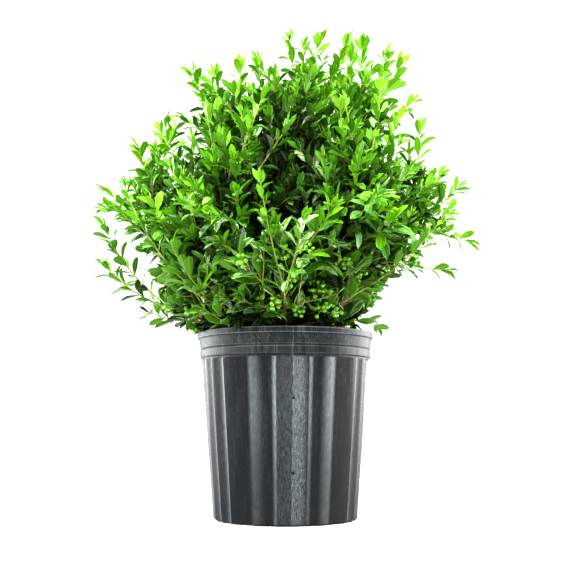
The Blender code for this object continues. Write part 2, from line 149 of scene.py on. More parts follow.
# The form that the leafy shoots fill inside the dome, upwards: height, half width and middle
OUTLINE = (
    (0.26, 0.12, 0.0), (0.30, 0.148, -0.018), (0.33, 0.170, -0.034), (0.36, 0.192, -0.026),
    (0.40, 0.236, -0.010), (0.44, 0.288, 0.0), (0.48, 0.303, 0.0), (0.53, 0.303, 0.0),
    (0.56, 0.275, 0.0), (0.60, 0.252, -0.008), (0.65, 0.230, 0.006), (0.70, 0.210, 0.012),
    (0.74, 0.180, 0.016), (0.77, 0.125, 0.050), (0.795, 0.07, 0.045), (0.812, 0.0, 0.04),
)
OUTLINE_HEIGHTS, OUTLINE_WIDTHS, OUTLINE_MIDDLES = zip(*OUTLINE)
OUTLINE_HEART = 0.46  # above here a smaller share of the form is lower too
FRONT_SHOOTS = (  # long shoots that stand out to both sides: how far over and how high each reaches
    (-0.160, 0.738), (-0.122, 0.736), (-0.076, 0.748), (-0.046, 0.758), (0.006, 0.796), (0.055, 0.788),
    (0.106, 0.786), (0.134, 0.782), (0.175, 0.764), (0.197, 0.752), (0.219, 0.690), (0.230, 0.638),
    (0.263, 0.564), (0.292, 0.541), (0.306, 0.452), (0.262, 0.404), (-0.298, 0.532), (-0.250, 0.605),
    (-0.203, 0.651), (-0.299, 0.408), (-0.224, 0.334), (-0.304, 0.474), (-0.284, 0.502), (0.150, 0.312),
    (-0.165, 0.322),
)
NEAR_SHOOTS = (  # more of them at the front, by the place of their tips
    (0.020, -0.225, 0.530), (0.105, -0.205, 0.515), (-0.090, -0.210, 0.545), (0.005, -0.170, 0.615),
    (0.090, -0.155, 0.620), (-0.100, -0.160, 0.610), (-0.160, -0.150, 0.530), (0.170, -0.150, 0.560),
)
OTHER_SHOOTS = 66
TUFT_RISE = 0.010  # how far the tuft of leaves stands above the tip of its long shoot
TUFT_SHARE = 0.97  # how far over the tip stands, as a share of how far over its tuft does
SHOOT_REACH = 1.2  # the share of the form that marks a long shoot, which only the dome holds in
SHOOT_SLACK = 0.022  # how far a long shoot may pass the dome
TWIG_SLACK = 0.014
POT_CLEARANCE = 0.004
BERRY_SPOTS = (  # how far over and how high each cluster hangs at the front
    (-0.010, 0.385), (0.028, 0.394), (0.085, 0.377), (0.010, 0.348), (0.035, 0.339), (0.061, 0.344),
    (0.014, 0.315), (-0.015, 0.325), (0.086, 0.314), (-0.049, 0.366), (0.052, 0.316),
)
BERRIES_AT_MOST = 9

# Leaves. Shares along a blade from its root to its tip, with its half width there
BLADE_SHARES = (0.0, 0.12, 0.36, 0.63, 0.87, 1.0)
BLADE_WIDTHS = (0.0, 0.20, 0.76, 1.0, 0.74, 0.0)
SMALL_SHARES = (0.0, 0.30, 0.66, 1.0)
SMALL_WIDTHS = (0.0, 0.72, 0.92, 0.0)
BLADE_THICKNESS = 0.00030
BladeForm = namedtuple("BladeForm", "fold arch curl twist wave")
BLADE_FORMS = (
    BladeForm(0.62, 0.45, 0.12, 0.15, 0.10),
    BladeForm(0.45, 0.60, 0.28, -0.25, 0.16),
    BladeForm(0.85, 0.40, 0.20, 0.0, 0.12),
    BladeForm(0.35, 0.75, -0.10, 0.30, 0.20),
    BladeForm(0.55, 0.50, 0.42, -0.10, 0.14),
    BladeForm(0.70, 0.55, 0.05, -0.35, 0.08),
)
# Whitish colour of the sheen painted along glossy leaves
GLEAM = (0.43, 0.55, 0.31)
LEAF_SPACING = 0.0051
WIDE_SPACING = 0.0066  # on long shoots and on low twigs
LEAF_ROOM = 0.0052
LEAVES_IN_PIECE = 3600
PAINTED_SHEEN = 4  # the tint after the four of growth and shade, for a leaf whose sheen is painted on

Shoot = namedtuple("Shoot", "ring points first_share vigour reach")
Leaf = namedtuple("Leaf", "form small placement tint")


def clamp(value, low=0.0, high=1.0):
    return max(low, min(high, value))


def across(direction):
    """Two directions square to another: one level, and one upwards from it."""
    side = direction.cross(UP)
    if side.length < 1e-3:
        side = Vector((1, 0, 0))
    side.normalize()
    return side, side.cross(direction).normalized()


def around(direction, turn):
    """The way out from a limb's axis at a turn round it."""
    side, up = across(direction)
    return side * math.cos(turn) + up * math.sin(turn)


def arc(start, corner, end, steps):
    """A curve's points. It sets out towards the corner, and comes from there to its end."""
    shares = [number / steps for number in range(steps + 1)]
    return [start.lerp(corner, share).lerp(corner.lerp(end, share), share) for share in shares]


def along_path(points, share):
    """The point at a share of a path's length, and the direction there."""
    place = share * (len(points) - 1)
    index = min(int(place), len(points) - 2)
    step = points[index + 1] - points[index]
    return points[index] + step * (place - index), step.normalized()


def bark_relief(point):
    """How far the bark stands out at a point: long low swellings with small bumps on them."""
    swelling = noise.noise(Vector((point.x * 90, point.y * 90, point.z * 40)))
    bumps = noise.noise(point * 420)
    return 0.00035 * swelling + 0.00022 * bumps


def operators(operation):
    """An operator on values that adds a Math node, and its reflected form."""

    def plain(value, other):
        return value.finish.maths(operation, value, other)

    def reflected(value, other):
        return value.finish.maths(operation, other, value)

    return plain, reflected


class Value:
    """A socket of a finish. Python's operators on it add Math nodes."""

    __add__, __radd__ = operators("ADD")
    __sub__, __rsub__ = operators("SUBTRACT")
    __mul__, __rmul__ = operators("MULTIPLY")
    __truediv__, __rtruediv__ = operators("DIVIDE")
    __pow__, __rpow__ = operators("POWER")

    def __init__(self, finish, socket):
        self.finish = finish
        self.socket = socket

    def __abs__(self):
        return self.finish.maths("ABSOLUTE", self)


class Finish:
    """A material that is built from nodes, with one Principled shader at its end."""

    def __init__(self, name, roughness, **uniform):
        self.material = bpy.data.materials.new(name)
        self.material.use_nodes = True
        self.tree = self.material.node_tree
        self.shader = self.tree.nodes["Principled BSDF"]
        self.shader.inputs["Roughness"].default_value = roughness
        for socket, number in uniform.items():
            self.shader.inputs[socket.replace("_", " ")].default_value = number

    def node(self, kind, settings=None, inputs=None, output=0):
        """Adds a node: its settings first, and then the values or links of its sockets."""
        node = self.tree.nodes.new("ShaderNode" + kind)
        for name, setting in (settings or {}).items():
            setattr(node, name, setting)
        for name, value in (inputs or {}).items():
            if isinstance(value, Value):
                self.tree.links.new(value.socket, node.inputs[name])
            else:
                node.inputs[name].default_value = value
        return Value(self, node.outputs[output])

    def maths(self, operation, *values):
        return self.node("Math", {"operation": operation}, dict(enumerate(values)))

    def place(self):
        return self.node("TexCoord", output="Object")

    def part(self, vector, axis):
        return self.node("SeparateXYZ", None, {0: vector}, output=axis)

    def noise(self, vector, scale, detail, roughness):
        """Noise at one scale, or at another along each axis."""
        if isinstance(scale, tuple):
            vector, scale = self.node("VectorMath", {"operation": "MULTIPLY"}, {0: vector, 1: scale}), 1.0
        inputs = {"Vector": vector, "Scale": scale, "Detail": detail, "Roughness": roughness}
        return self.node("TexNoise", None, inputs)

    def step(self, value, low, high):
        """0 below a value and 1 above another, smooth between them."""
        inputs = {"Value": value, "From Min": low, "From Max": high}
        return self.node("MapRange", {"interpolation_type": "SMOOTHSTEP"}, inputs)

    def band(self, value, start, full, fading, end):
        """1 between two values, and fading to 0 on both sides."""
        return self.step(value, start, full) * (1 - self.step(value, fading, end))

    def mix(self, share, first, second):
        """A colour between two. Each is a link or three numbers."""
        colours = [c if isinstance(c, Value) else (*c, 1.0) for c in (first, second)]
        inputs = {0: share, 6: colours[0], 7: colours[1]}
        return self.node("Mix", {"data_type": "RGBA"}, inputs, output=2)

    def bump(self, height, strength, distance):
        return self.node("Bump", None, {"Height": height, "Strength": strength, "Distance": distance})

    def feed(self, **sockets):
        """Links values to the shader's own sockets, or sets a plain colour there."""
        for name, value in sockets.items():
            socket = self.shader.inputs[name.replace("_", " ")]
            if isinstance(value, Value):
                self.tree.links.new(value.socket, socket)
            else:
                socket.default_value = (*value, 1.0)
        return self.material


def plain_finish(name, colour, roughness):
    return Finish(name, roughness).feed(Base_Color=colour)


def size_setting(name, description, default):
    return FloatProperty(name=name, description=description, default=default, unit="LENGTH")


def colour_setting(name, description, default):
    return FloatVectorProperty(name=name, description=description, default=default, subtype="COLOR")


def light_setting(name, description, default, unit="NONE"):
    return FloatProperty(name=name, description=description, default=default, unit=unit)


class PotLook(bpy.types.PropertyGroup):
    """Sizes and colours of the nursery pot."""

    height: size_setting("Height", "From the foot to the lip", POT_HEIGHT)
    lip_radius: size_setting("Lip radius", "Outside of the lip", LIP_RADIUS)
    rib_top_radius: size_setting("Wall radius", "Fluted wall, at its top", 0.1325)
    foot_radius: size_setting("Foot radius", "Fluted wall, at its foot", 0.1125)
    wall: size_setting("Wall", "Thickness of the plastic", 0.0024)
    plastic: colour_setting("Plastic", "Blue-grey black of the pot", (0.0035, 0.0055, 0.0072))
    # This chalky grey also paints the highlights on the pot's ribs and band edges
    scuff_and_highlight: colour_setting("Scuffs", "Chalky grey of the worn places", (0.185, 0.205, 0.215))


class PlantLook(bpy.types.PropertyGroup):
    """Sizes and colours of the plant."""

    leaf_length: size_setting("Leaf length", "A full leaf", 0.041)
    leaf_width: size_setting("Leaf width", "A full leaf", 0.0145)
    berry_radius: size_setting("Berry radius", "One berry", 0.0033)
    twigs_on_stem: IntProperty(name="Twigs", description="Twigs along each stem", default=16)
    seed: IntProperty(name="Seed", description="Another number grows another plant", default=11)
    bark: colour_setting("Bark", "Old bark of trunk and boughs", (0.165, 0.112, 0.042))
    shoot: colour_setting("Shoots", "Bark of this year's shoots", (0.26, 0.29, 0.05))
    young_leaf: colour_setting("Young leaves", "At the tips of the shoots", (0.150, 0.325, 0.003))
    fresh_leaf: colour_setting("Fresh leaves", "Upper part of a shoot", (0.128, 0.340, 0.002))
    grown_leaf: colour_setting("Grown leaves", "Lower part of a shoot", (0.055, 0.190, 0.001))
    # Near black: leaves inside the crown, older and with painted shade
    old_leaf: colour_setting("Old leaves", "Inside the crown", (0.007, 0.027, 0.0006))
    # Green under a whitish sheen that is painted on
    sheen_leaf: colour_setting("Glossy leaves", "Large leaves low outside", (0.082, 0.205, 0.013))
    berry: colour_setting("Berries", "Unripe berries", (0.165, 0.390, 0.022))


class StageLook(bpy.types.PropertyGroup):
    """Strengths of the studio's lights, and the floor's colour."""

    backdrop: light_setting("Backdrop", "Brightness of the white surroundings", 1.0)
    fill: light_setting("Fill", "Brightness of the soft light from all sides", 0.10)
    key_light: light_setting("Key light", "Strength of the soft sun from above, front left", 7.2)
    back_light: light_setting("Back light", "Strength of the soft sun from behind", 3.0)
    side_light: light_setting("Side lights", "Each wide lamp beside the pot", 80.0, "POWER")
    top_light: light_setting("Top light", "Wide lamp overhead, for the leaves' sheen", 120.0, "POWER")
    front_light: light_setting("Front light", "Lamp above the camera", 14.0, "POWER")
    floor: colour_setting("Floor", "Colour of the floor", (0.44, 0.44, 0.44))


def add_piece(name, mesh, nodes, finishes):
    """An object for a finished mesh. It rides on the frame and stands for its nodes."""
    piece = bpy.data.objects.new(name, mesh)
    bpy.context.scene.collection.objects.link(piece)
    for finish in finishes:
        mesh.materials.append(finish)
    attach(piece, "root")
    if nodes:
        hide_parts(*nodes)


def mesh_of(name, bm, smooth_degrees=40):
    mesh = bpy.data.meshes.new(name)
    bm.to_mesh(mesh)
    bm.free()
    mesh.shade_smooth()
    mesh.set_sharp_from_angle(angle=math.radians(smooth_degrees))
    return mesh


def rounded(corners, steps=4):
    """A section's points. A corner is a radius, a height and how far its rounding reaches along each side."""
    points = []
    for index, (radius, height, rounding) in enumerate(corners):
        here = Vector((radius, 0, height))
        if not rounding:
            points.append(here)
            continue
        before, after = (Vector((corners[i][0], 0, corners[i][1])) for i in (index - 1, index + 1))
        start, end = (here + (other - here).normalized() * rounding for other in (before, after))
        points += arc(start, here, end, steps)
    return points


def turned(points, steps):
    """A section turned once round the pot's axis, closed where it meets the axis."""
    bm = bmesh.new()
    verts = [bm.verts.new(point) for point in points]
    for first, second in zip(verts, verts[1:]):
        bm.edges.new((first, second))
    bmesh.ops.spin(
        bm,
        geom=bm.verts[:] + bm.edges[:],
        cent=(0, 0, 0),
        axis=(0, 0, 1),
        angle=2 * math.pi,
        steps=steps,
        use_merge=True,
    )
    bmesh.ops.remove_doubles(bm, verts=bm.verts, dist=1e-6)
    bmesh.ops.recalc_face_normals(bm, faces=bm.faces)
    return bm


def flute_depth(degrees):
    """How deep the wall is pressed in at an angle from the front. Its quarters mirror each other."""
    off_seam = (degrees - SEAM_DEGREES) % 180
    off_seam = min(off_seam, 180 - off_seam)
    flute = next(flute for flute in FLUTES if off_seam <= flute.last + 1e-6)
    share = (off_seam - flute.first) / (flute.last - flute.first)
    depth = flute.first_depth + (flute.last_depth - flute.first_depth) * share
    return depth + flute.hollow * math.sin(math.pi * max(0.0, share) ** flute.skew)


def pot_section(look):
    """The pot's section, from the middle of its foot over the lip to the middle of its floor inside."""
    wall = look.wall
    lower_band, groove, upper_foot, upper_top = 0.1356, 0.1338, 0.1352, 0.1374
    return rounded(
        [
            (0.0, 0.0, 0),
            (look.foot_radius - FOOT_BEVEL, 0.0, 0.0012),
            (look.foot_radius, FOOT_BEVEL, 0.0012),
            (look.rib_top_radius - 0.0002, FLUTE_TOP - FLUTE_FADE, 0),
            (look.rib_top_radius - 0.0001, FLUTE_TOP - FLUTE_FADE / 2, 0),
            (look.rib_top_radius, FLUTE_TOP, 0),
            (look.rib_top_radius, 0.2492, 0.0008),
            (lower_band, 0.2505, 0.0010),
            (lower_band, 0.2617, 0.0016),
            (groove, 0.2631, 0.0006),
            (upper_foot, 0.2645, 0.0008),
            (upper_top, 0.2795, 0.0007),
            (look.lip_radius, 0.2807, 0.0010),
            (look.lip_radius, look.height, 0.0024),
            (upper_top - wall, look.height, 0.0020),
            (groove - wall, 0.2505, 0.0020),
            (look.rib_top_radius - wall, FLUTE_TOP, 0),
            (look.rib_top_radius - wall, FLUTE_TOP - FLUTE_FADE, 0),
            (look.foot_radius - wall, FLOOR_THICKNESS, 0),
            (0.0, FLOOR_THICKNESS, 0),
        ]
    )


def cut_drain_holes(mesh):
    """Cuts the round holes in the pot's floor with one Boolean, and gives the cut mesh."""
    bm = bmesh.new()
    for number in range(DRAIN_COUNT):
        turn = 2 * math.pi * (number + 0.5) / DRAIN_COUNT
        middle = Vector((DRAIN_CIRCLE * math.cos(turn), DRAIN_CIRCLE * math.sin(turn), 0))
        bmesh.ops.create_cone(
            bm,
            cap_ends=True,
            segments=32,
            radius1=DRAIN_RADIUS,
            radius2=DRAIN_RADIUS,
            depth=4 * FLOOR_THICKNESS,
            matrix=Matrix.Translation(middle),
        )
    drills = bpy.data.objects.new("drills", mesh_of("drills", bm))
    blank = bpy.data.objects.new("blank", mesh)
    for helper in (drills, blank):
        bpy.context.scene.collection.objects.link(helper)
    cut = blank.modifiers.new("drain_holes", "BOOLEAN")
    cut.operation = "DIFFERENCE"
    cut.object = drills
    result = bpy.data.meshes.new_from_object(blank.evaluated_get(bpy.context.evaluated_depsgraph_get()))
    for helper in (drills, blank):
        bpy.data.meshes.remove(helper.data, do_unlink=True)
    result.materials.clear()
    return result


def pot_finish(look):
    """Satin black plastic with upright streaks, chalky where it is scuffed, with painted highlights along its
    ribs and the edges of its bands, and with a rough mould seam.
    """
    finish = Finish("pot_plastic", 0.34, Specular_IOR_Level=0.28)
    place = finish.place()
    across_pot, depth, height = (finish.part(place, axis) for axis in range(3))
    turn = finish.maths("ARCTAN2", across_pot, 0.0 - depth) * (180 / math.pi)
    off_seam = finish.maths("PINGPONG", turn - SEAM_DEGREES, 90.0)
    upward = finish.step(height, 0.02, 0.25)
    wall = 1 - finish.step(height, FLUTE_TOP - 0.002, FLUTE_TOP)
    bands = 1 - wall

    fine = finish.noise(place, (1300, 1300, 30), 1.0, 0.5)
    broad = finish.noise(place, (90, 90, 9), 3.0, 0.6)
    grain = finish.step(fine, 0.35, 0.70)
    streaks = finish.step(fine, 0.30, 0.80) * finish.step(broad, 0.36, 0.70)
    specks = finish.step(finish.noise(place, (1000, 1000, 330), 1.0, 0.5), 0.58, 0.70)

    # Rubbed pale where the wall stands out beside the seam; painted highlights on the edges, bulges and
    # slopes of the ribs between the flutes
    panel = finish.band(turn, 4.8, 5.4, 11.0, 17.0) + 0.30 * finish.band(turn, -8.0, -6.0, 4.4, 5.0)
    seam = 1 - finish.step(abs(turn - SEAM_DEGREES), 0.25, 0.7)
    past_edge = finish.maths("FRACT", (off_seam - OUTER_FLUTES) / OUTER_WIDTH)
    edges = (1 - past_edge) * finish.step(off_seam, OUTER_FLUTES - 0.8, OUTER_FLUTES + 0.2)
    # Stronger on the +X side, as painted light from the right
    bulge_highlight = finish.band(off_seam, 19.0, 26.0, 28.0, 31.0) * (0.42 + 0.40 * finish.step(turn, 0.0, 10.0))
    slope_highlight = finish.band(off_seam, 10.4, 11.4, 12.0, 14.5)
    # Painted highlights, brighter towards the top
    ridge_highlights = (edges**4.0 * 1.5 + bulge_highlight + slope_highlight * 0.8) * wall * (0.35 + 0.65 * upward)

    wear_and_highlight = streaks * (0.05 + 0.14 * upward)
    wear_and_highlight += panel * (0.08 + 0.38 * grain + 0.16 * upward) * wall
    wear_and_highlight += seam * grain * 0.4
    # The ribs' painted highlights
    wear_and_highlight += ridge_highlights * (0.60 + 0.5 * grain)
    wear_and_highlight += specks * (panel * wall * 0.6 + bands * 0.08)
    wear_and_highlight += bands * grain * (0.12 + 0.14 * finish.step(broad, 0.45, 0.65))
    # Painted highlights along the band edges
    for edge, edge_highlight in BAND_EDGES:
        wear_and_highlight += (1 - finish.step(abs(height - edge), 0.0002, 0.0011)) * (edge_highlight + 0.20 * streaks)

    nicks = 0.0
    for nick_height, radius in NICKS:
        angle = math.radians(NICK_DEGREES)
        spot = (radius * math.sin(angle), -radius * math.cos(angle), nick_height)
        gap = finish.node("VectorMath", {"operation": "DISTANCE"}, {0: place, 1: spot}, output=1)
        nicks += 1 - finish.step(gap, 0.0012, 0.0030)
    # Real scuffs and painted highlights together, kept out of the nicks
    chalk_and_highlight = finish.maths("MINIMUM", wear_and_highlight, 1.0) * (1 - nicks)
    blotches = finish.noise(place, 38.0, 4.0, 0.6)
    return finish.feed(
        Base_Color=finish.mix(chalk_and_highlight, look.plastic, look.scuff_and_highlight),
        Roughness=0.17 + 0.18 * blotches + 0.22 * chalk_and_highlight + 0.20 * bands,
        Normal=finish.bump(fine * 0.6 + broad + seam * 1.5 - nicks * 4.0, 0.35, 0.0004),
    )


def make_pot(look):
    """The section turned, and its wall pressed in by the flutes."""
    bm = turned(pot_section(look), POT_STEPS)
    for vert in bm.verts:
        radius = math.hypot(vert.co.x, vert.co.y)
        if radius < look.foot_radius - 2 * FOOT_BEVEL or vert.co.z > FLUTE_TOP:
            continue
        fade = min(1.0, (FLUTE_TOP - vert.co.z) / FLUTE_FADE)
        press = fade * flute_depth(math.degrees(math.atan2(vert.co.x, -vert.co.y)))
        vert.co.x *= 1 - press / radius
        vert.co.y *= 1 - press / radius
    mesh = cut_drain_holes(mesh_of("nursery_pot", bm))
    add_piece("nursery_pot", mesh, ["pot"], [pot_finish(look)])


def mix_finish():
    finish = Finish("potting_mix_crumbs", 0.95)
    crumbs = finish.noise(finish.place(), 260.0, 4.0, 0.7)
    colour = finish.mix(finish.step(crumbs, 0.35, 0.7), (0.012, 0.006, 0.005), (0.085, 0.040, 0.030))
    return finish.feed(Base_Color=colour, Normal=finish.bump(crumbs, 0.9, 0.002))


def make_potting_mix():
    """One closed block, with a lumpy top."""
    top = [(MIX_RADIUS * number / MIX_RINGS, MIX_TOP - 0.002, 0) for number in range(MIX_RINGS + 1)]
    under = [(*MIX_SHOULDER, 0), (MIX_FOOT_RADIUS, MIX_BOTTOM, 0), (0.0, MIX_BOTTOM, 0)]
    bm = turned(rounded(top + under), MIX_STEPS)
    for vert in bm.verts:
        if vert.co.z > MIX_TOP - 0.003:
            vert.co.z += 0.0022 * noise.noise(vert.co * 60) + 0.0016 * noise.noise(vert.co * 190)
    mesh = mesh_of("potting_mix_top", bm, 80)
    add_piece("potting_mix_top", mesh, ["potting_mix"], [mix_finish()])


def make_chips():
    """Loose chips of bark and grains of perlite on top of the mix."""
    draw = random.Random(CHIP_SEED)
    bm = bmesh.new()
    bmesh.ops.create_cube(bm, size=1.0)
    geom = bm.verts[:] + bm.edges[:]
    bmesh.ops.bevel(bm, geom=geom, offset=0.22, affect="EDGES", segments=1, profile=0.5, material=-1)
    chip = Template(bm)
    placements, kinds = [], []
    for _ in range(CHIP_COUNT):
        radius = MIX_RADIUS * 0.97 * math.sqrt(draw.random())
        turn = draw.uniform(0, 2 * math.pi)
        place = Vector((radius * math.cos(turn), radius * math.sin(turn), MIX_TOP - 0.0012))
        white = draw.random() < PERLITE_SHARE
        size = draw.uniform(*(PERLITE_SIZES if white else CHIP_SIZES))
        heading, tilt = draw.uniform(0, 6.3), draw.uniform(-0.5, 0.5)
        spin = Matrix.Rotation(heading, 3, "Z") @ Matrix.Rotation(tilt, 3, "X")
        shape = (size, size * draw.uniform(0.35, 0.7), size * (0.9 if white else draw.uniform(0.15, 0.4)))
        placements.append([*(spin.col[axis] * shape[axis] for axis in range(3)), place])
        kinds.append(1 if white else draw.choice((0, 2)))
    mesh = joined_mesh("bark_chips", [(chip, placements, [(kind, kind) for kind in kinds])], 30)
    finishes = [
        plain_finish("chip_brown", (0.060, 0.026, 0.018), 0.9),
        plain_finish("perlite_white", (0.62, 0.60, 0.56), 0.8),
        plain_finish("chip_dark", (0.022, 0.011, 0.009), 0.9),
    ]
    add_piece("bark_chips", mesh, [], finishes)


class Template:
    """The numbers of one small mesh, from which a piece with many copies of it is made."""

    def __init__(self, bm):
        bmesh.ops.recalc_face_normals(bm, faces=bm.faces)
        if bm.calc_volume(signed=True) < 0:
            bmesh.ops.reverse_faces(bm, faces=bm.faces)
        bm.verts.index_update()
        self.points = np.array([vert.co[:] for vert in bm.verts])
        self.corners = np.array([vert.index for face in bm.faces for vert in face.verts])
        self.sizes = np.array([len(face.verts) for face in bm.faces])
        self.sides = np.array([face.material_index for face in bm.faces])
        layer = bm.loops.layers.uv.active
        loops = [loop for face in bm.faces for loop in face.loops]
        self.marks = np.array([loop[layer].uv[:] if layer else (0, 0) for loop in loops])
        bm.free()


def joined_mesh(name, batches, smooth_degrees):
    """One mesh of many copies. Each batch has a template, placements (across, along, up, place) and slots."""
    points, corners, sizes, slots, marks, count = [], [], [], [], [], 0
    for template, placements, kinds in batches:
        if not placements:
            continue
        frames = np.array([[vector[:] for vector in placement] for placement in placements])
        copies = np.einsum("pk,nkd->npd", template.points, frames[:, :3]) + frames[:, 3:4]
        points.append(copies.reshape(-1, 3))
        steps = count + np.arange(len(frames)) * len(template.points)
        corners.append((steps[:, None] + template.corners).ravel())
        sizes.append(np.tile(template.sizes, len(frames)))
        slots.append(np.array(kinds)[:, template.sides].ravel())
        marks.append(np.tile(template.marks, (len(frames), 1)))
        count += len(frames) * len(template.points)
    sizes, corners = np.concatenate(sizes), np.concatenate(corners)
    mesh = bpy.data.meshes.new(name)
    mesh.vertices.add(count)
    mesh.vertices.foreach_set("co", np.concatenate(points).astype(np.float32).ravel())
    mesh.loops.add(len(corners))
    mesh.loops.foreach_set("vertex_index", corners.astype(np.int32))
    mesh.polygons.add(len(sizes))
    mesh.polygons.foreach_set("loop_start", np.concatenate([[0], np.cumsum(sizes)[:-1]]).astype(np.int32))
    mesh.polygons.foreach_set("material_index", np.concatenate(slots).astype(np.int32))
    layer = mesh.uv_layers.new(name="blade")
    layer.data.foreach_set("uv", np.concatenate(marks).astype(np.float32).ravel())
    mesh.update(calc_edges=True)
    mesh.shade_smooth()
    mesh.set_sharp_from_angle(angle=math.radians(smooth_degrees))
    return mesh


def trunk_point(share):
    sway = TRUNK_SWAY * math.sin(2 * math.pi * share)
    height = MIX_TOP + CLEARANCE + TRUNK_RISE * share
    return Vector((TRUNK_LEAN.x * share - sway, TRUNK_LEAN.y * share + sway, height))


def trunk_radius(share):
    taper = TRUNK_FOOT_RADIUS + (TRUNK_TIP_RADIUS - TRUNK_FOOT_RADIUS) * share
    return taper + FLARE_WIDTH * math.exp(-share * TRUNK_RISE / FLARE_RISE)


def trunk_relief(spot):
    """The bark on the trunk, with the roots' lobes at its foot."""
    flare = max(0.0, MIX_TOP + ROOT_RISE - spot.z) / ROOT_RISE
    lobes = ROOT_DEPTH * flare * math.sin(5 * math.atan2(spot.y, spot.x))
    return 1.6 * bark_relief(spot) + lobes


def crown_radius(height):
    if height > CROWN_BROADEST:
        share = (height - CROWN_BROADEST) / (CROWN_TOP - CROWN_BROADEST)
    else:
        share = (CROWN_BROADEST - height) / (CROWN_BROADEST - CROWN_BOTTOM)
    return CROWN_RADIUS * (1 - min(share, 1.0) ** CROWN_FULLNESS) ** (1 / CROWN_FULLNESS)


def crown_tip(azimuth, height):
    """The point of the crown's surface where a limb ends."""
    lean = CROWN_LEAN * (height - CROWN_BROADEST)
    reach = crown_radius(height)
    x = lean + reach * math.cos(azimuth)
    return Vector((x, reach * math.sin(azimuth), height + CROWN_TILT * x))


def in_crown(point, slack):
    """Whether a point lies inside the crown's dome, or past its surface by less than the slack."""
    middle = CROWN_LEAN * (point.z - CROWN_BROADEST)
    height = point.z - CROWN_TILT * point.x
    sideways = math.hypot(point.x - middle, point.y)
    if height > CROWN_BROADEST:
        height = max(height - slack, CROWN_BROADEST)
    return height < CROWN_TOP and sideways < crown_radius(height) + slack


def outline_at(height):
    """Half the width of the leafy form at a height, and its middle there."""
    width = float(np.interp(height, OUTLINE_HEIGHTS, OUTLINE_WIDTHS))
    return width, float(np.interp(height, OUTLINE_HEIGHTS, OUTLINE_MIDDLES))


def outline_drop(height, y):
    """How much lower than over the axis the leafy form is in front of it and behind it."""
    return 0.7 * (height - 0.15) * abs(y)


def in_outline(point, share):
    """Whether a point lies inside the leafy form, at a share of its size."""
    height = point.z + outline_drop(point.z, point.y)
    if height > OUTLINE_HEART:
        height = OUTLINE_HEART + (height - OUTLINE_HEART) / share
    if height > OUTLINE_HEIGHTS[-1]:
        return False
    lumps = 1 + 0.08 * noise.noise(point * 9)
    width, middle = outline_at(height)
    return math.hypot(point.x - middle, point.y) < width * share * lumps


def clear_of_pot(point):
    """Whether a point lies above the pot's lip or outside it."""
    return point.z > POT_HEIGHT + POT_CLEARANCE or math.hypot(point.x, point.y) > LIP_RADIUS + POT_CLEARANCE


def fits(point, share=1.06):
    """Whether the crown has a place for a point, at a share of the leafy form."""
    if share >= SHOOT_REACH:
        return in_crown(point, SHOOT_SLACK) and clear_of_pot(point)
    return in_outline(point, share) and in_crown(point, TWIG_SLACK) and clear_of_pot(point)


class Limb:
    """One way from the trunk to the crown's surface: a bough first, and a leafy stem on from its tip."""

    def __init__(self, ring, name, root, tip, sag, lift, foot_radius, start=BOUGH_SHARE):
        self.ring, self.name, self.lift, self.start = ring, name, lift, start
        self.root, self.tip, self.foot_radius = root, tip, foot_radius
        self.bend = (root + tip) / 2 - Vector((0, 0, sag))

    def point(self, share):
        return self.root * (1 - share) ** 2 + self.bend * 2 * share * (1 - share) + self.tip * share**2

    def direction(self, share):
        return ((self.bend - self.root) * (1 - share) + (self.tip - self.bend) * share).normalized()

    def bough_radius(self, share):
        taper = self.foot_radius * 1.02 + (STEM_RADIUS - self.foot_radius) * (share / BOUGH_SHARE)
        return taper + BOUGH_FLARE * math.exp(-share / BOUGH_FLARE_SHARE)


def plan_limbs():
    """The limbs of all rings, and last the leader on the trunk's tip."""
    limbs = []
    for ring in RINGS:
        for number in range(ring.limbs):
            azimuth = math.radians(ring.first_azimuth) + 2 * math.pi * number / ring.limbs
            stagger = ROOT_STAGGER * (number % 2)
            root = trunk_point((ring.root_height + stagger - MIX_TOP) / TRUNK_RISE)
            tip = crown_tip(azimuth, ring.tip_height)
            name = f"{ring.name}_{number + 1}"
            limbs.append(Limb(ring.name, name, root, tip, ring.sag, ring.lift, ring.foot_radius))
    top = crown_tip(0.0, CROWN_TOP)
    leader = Limb("upper", "top", trunk_point(1.0), top, 0.0, 0.4, TRUNK_TIP_RADIUS, 0.0)
    return limbs + [leader]


def add_tube(bm, points, radii, sides, relief):
    """Extrudes one closed limb along its points, with the bark's relief on it."""
    ring = bmesh.ops.create_circle(bm, cap_ends=True, segments=sides)["verts"]
    edges = list({edge for vert in ring for edge in vert.link_edges})
    order = {vert: number for number, vert in enumerate(ring)}
    for index, (point, radius) in enumerate(zip(points, radii)):
        if index:
            grown = bmesh.ops.extrude_edge_only(bm, edges=edges)["geom"]
            fresh = [item for item in grown if isinstance(item, bmesh.types.BMVert)]
            below = {}
            for vert in fresh:
                for edge in vert.link_edges:
                    other = edge.other_vert(vert)
                    if other in order:
                        below[vert] = order[other]
            order = below
            kept = set(fresh)
            edges = [item for item in grown if isinstance(item, bmesh.types.BMEdge)]
            edges = [edge for edge in edges if kept.issuperset(edge.verts)]
        ahead = points[min(index + 1, len(points) - 1)] - points[max(index - 1, 0)]
        side, up = across(ahead.normalized())
        for vert, number in order.items():
            turn = 2 * math.pi * number / sides
            out = side * math.cos(turn) + up * math.sin(turn)
            spot = point + out * radius
            vert.co = spot + out * relief(spot)
    bmesh.ops.edgeloop_fill(bm, edges=edges)


